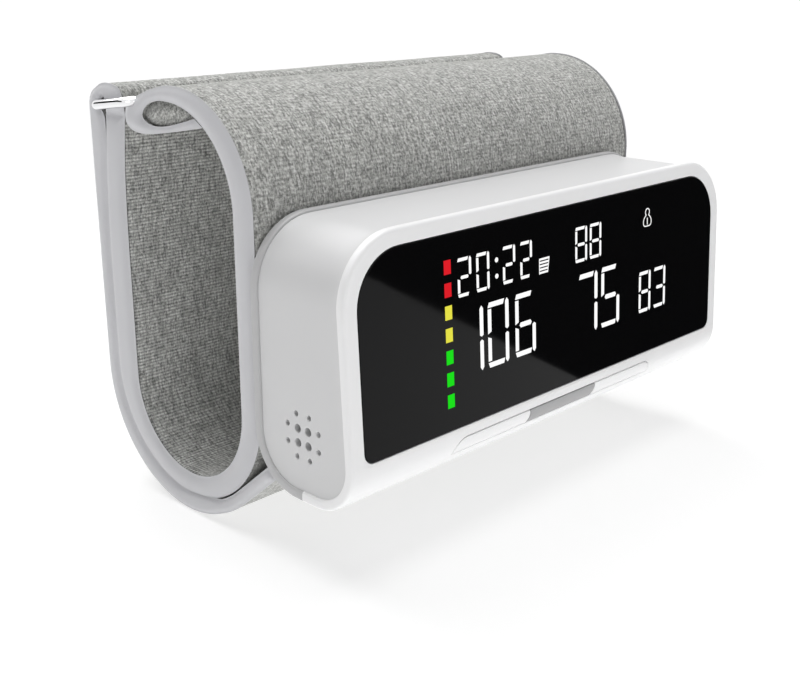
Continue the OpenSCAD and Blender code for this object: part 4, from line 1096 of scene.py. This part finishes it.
def floor():
    """A pale floor: white where the camera and reflections see it, but for the object's soft shadow."""
    bpy.ops.mesh.primitive_plane_add(size=30, location=(0, 0, FLOOR_Z))
    f = bpy.context.object
    f.name = "floor"
    m = material("floor", (0.8, 0.8, 0.8), 0.9, specular=0.0)
    t = Nodes(m)
    t.shader.inputs["Emission Color"].default_value = (1, 1, 1, 1)
    t.shader.inputs["Emission Strength"].default_value = TABLE
    at = t.new("ShaderNodeTexCoord").outputs["Object"]
    far = t.new("ShaderNodeVectorMath", {"operation": "LENGTH"}, n0=at).outputs["Value"]
    fade = t.new("ShaderNodeMapRange", {"interpolation_type": "SMOOTHSTEP"}, Value=far)
    fade.inputs["From Min"].default_value = SHADE_NEAR
    fade.inputs["From Max"].default_value = SHADE_FAR
    own = t.math("ADD", GLOW_NEAR, t.math("MULTIPLY", fade.outputs[0], GLOW_GAIN))
    glow = t.new("ShaderNodeEmission", Strength=own)
    share = t.mix(fade.outputs[0], (SHADE_SHARE,) * 3, (0.0, 0.0, 0.0))
    pale = t.new("ShaderNodeBsdfDiffuse", Color=share)
    add = t.new("ShaderNodeAddShader", n0=glow.outputs[0], n1=pale.outputs[0])
    path = t.new("ShaderNodeLightPath").outputs
    seen = t.math("MAXIMUM", path["Is Camera Ray"], path["Is Glossy Ray"])
    mix = t.new("ShaderNodeMixShader", n0=seen, n1=t.shader.outputs[0], n2=add.outputs[0])
    t.tree.links.new(mix.outputs[0], t.tree.nodes["Material Output"].inputs[0])
    f.data.materials.append(m)


def card(name, corners):
    """A black card that only reflections see."""
    mesh = bpy.data.meshes.new(name)
    mesh.from_pydata(corners, [], [(0, 1, 2, 3)])
    mesh.materials.append(CARD)
    o = bpy.data.objects.new(name, mesh)
    bpy.context.scene.collection.objects.link(o)
    o.visible_camera = o.visible_diffuse = o.visible_shadow = False
    o.visible_transmission = o.visible_volume_scatter = False


def world():
    """White where the camera and reflections see it, and dim as a light."""
    w = bpy.data.worlds.new("studio")
    bpy.context.scene.world = w
    w.use_nodes = True
    tree = w.node_tree
    back = tree.nodes["Background"]
    path = tree.nodes.new("ShaderNodeLightPath").outputs
    seen = path["Is Camera Ray"]
    for way in ("Is Glossy Ray", "Is Transmission Ray"):
        most = tree.nodes.new("ShaderNodeMath")
        most.operation = "MAXIMUM"
        tree.links.new(seen, most.inputs[0])
        tree.links.new(path[way], most.inputs[1])
        seen = most.outputs[0]
    level = tree.nodes.new("ShaderNodeMapRange")
    level.inputs["To Min"].default_value = WORLD
    level.inputs["To Max"].default_value = 1.0
    tree.links.new(seen, level.inputs["Value"])
    tree.links.new(level.outputs[0], back.inputs[1])
    back.inputs[0].default_value = (1, 1, 1, 1)


def lamp(name, at, size, power):
    """A rectangular lamp aimed at the object."""
    d = bpy.data.lights.new(name, "AREA")
    d.shape = "RECTANGLE"
    d.size, d.size_y = size
    d.energy = power
    o = bpy.data.objects.new(name, d)
    o.location = at
    o.rotation_euler = (Vector(AIM) - Vector(at)).to_track_quat("-Z", "Y").to_euler()
    bpy.context.scene.collection.objects.link(o)


def camera():
    """The photo's view."""
    d = bpy.data.cameras.new("view")
    d.sensor_width = 36
    d.lens = CAMERA_LENS
    d.clip_start, d.clip_end = 0.01, 50
    o = bpy.data.objects.new("view", d)
    m = Matrix.Identity(4)
    for k in range(3):
        m[k][0], m[k][1], m[k][2] = CAMERA_RIGHT[k], CAMERA_UP[k], -CAMERA_AHEAD[k]
        m[k][3] = CAMERA_AT[k]
    o.matrix_world = m
    bpy.context.scene.collection.objects.link(o)
    bpy.context.scene.camera = o


camera()
world()
floor()
for name, (at, size, power) in LAMPS.items():
    lamp(name, at, size, power)
for name, corners in CARDS.items():
    card(name, corners)
front_cover()
rear_cover()
middle_shell()
display_window()
buttons()
lit_marks()
cuff()
ring()
inner_materials()

bpy.context.scene.view_settings.view_transform = "Standard"
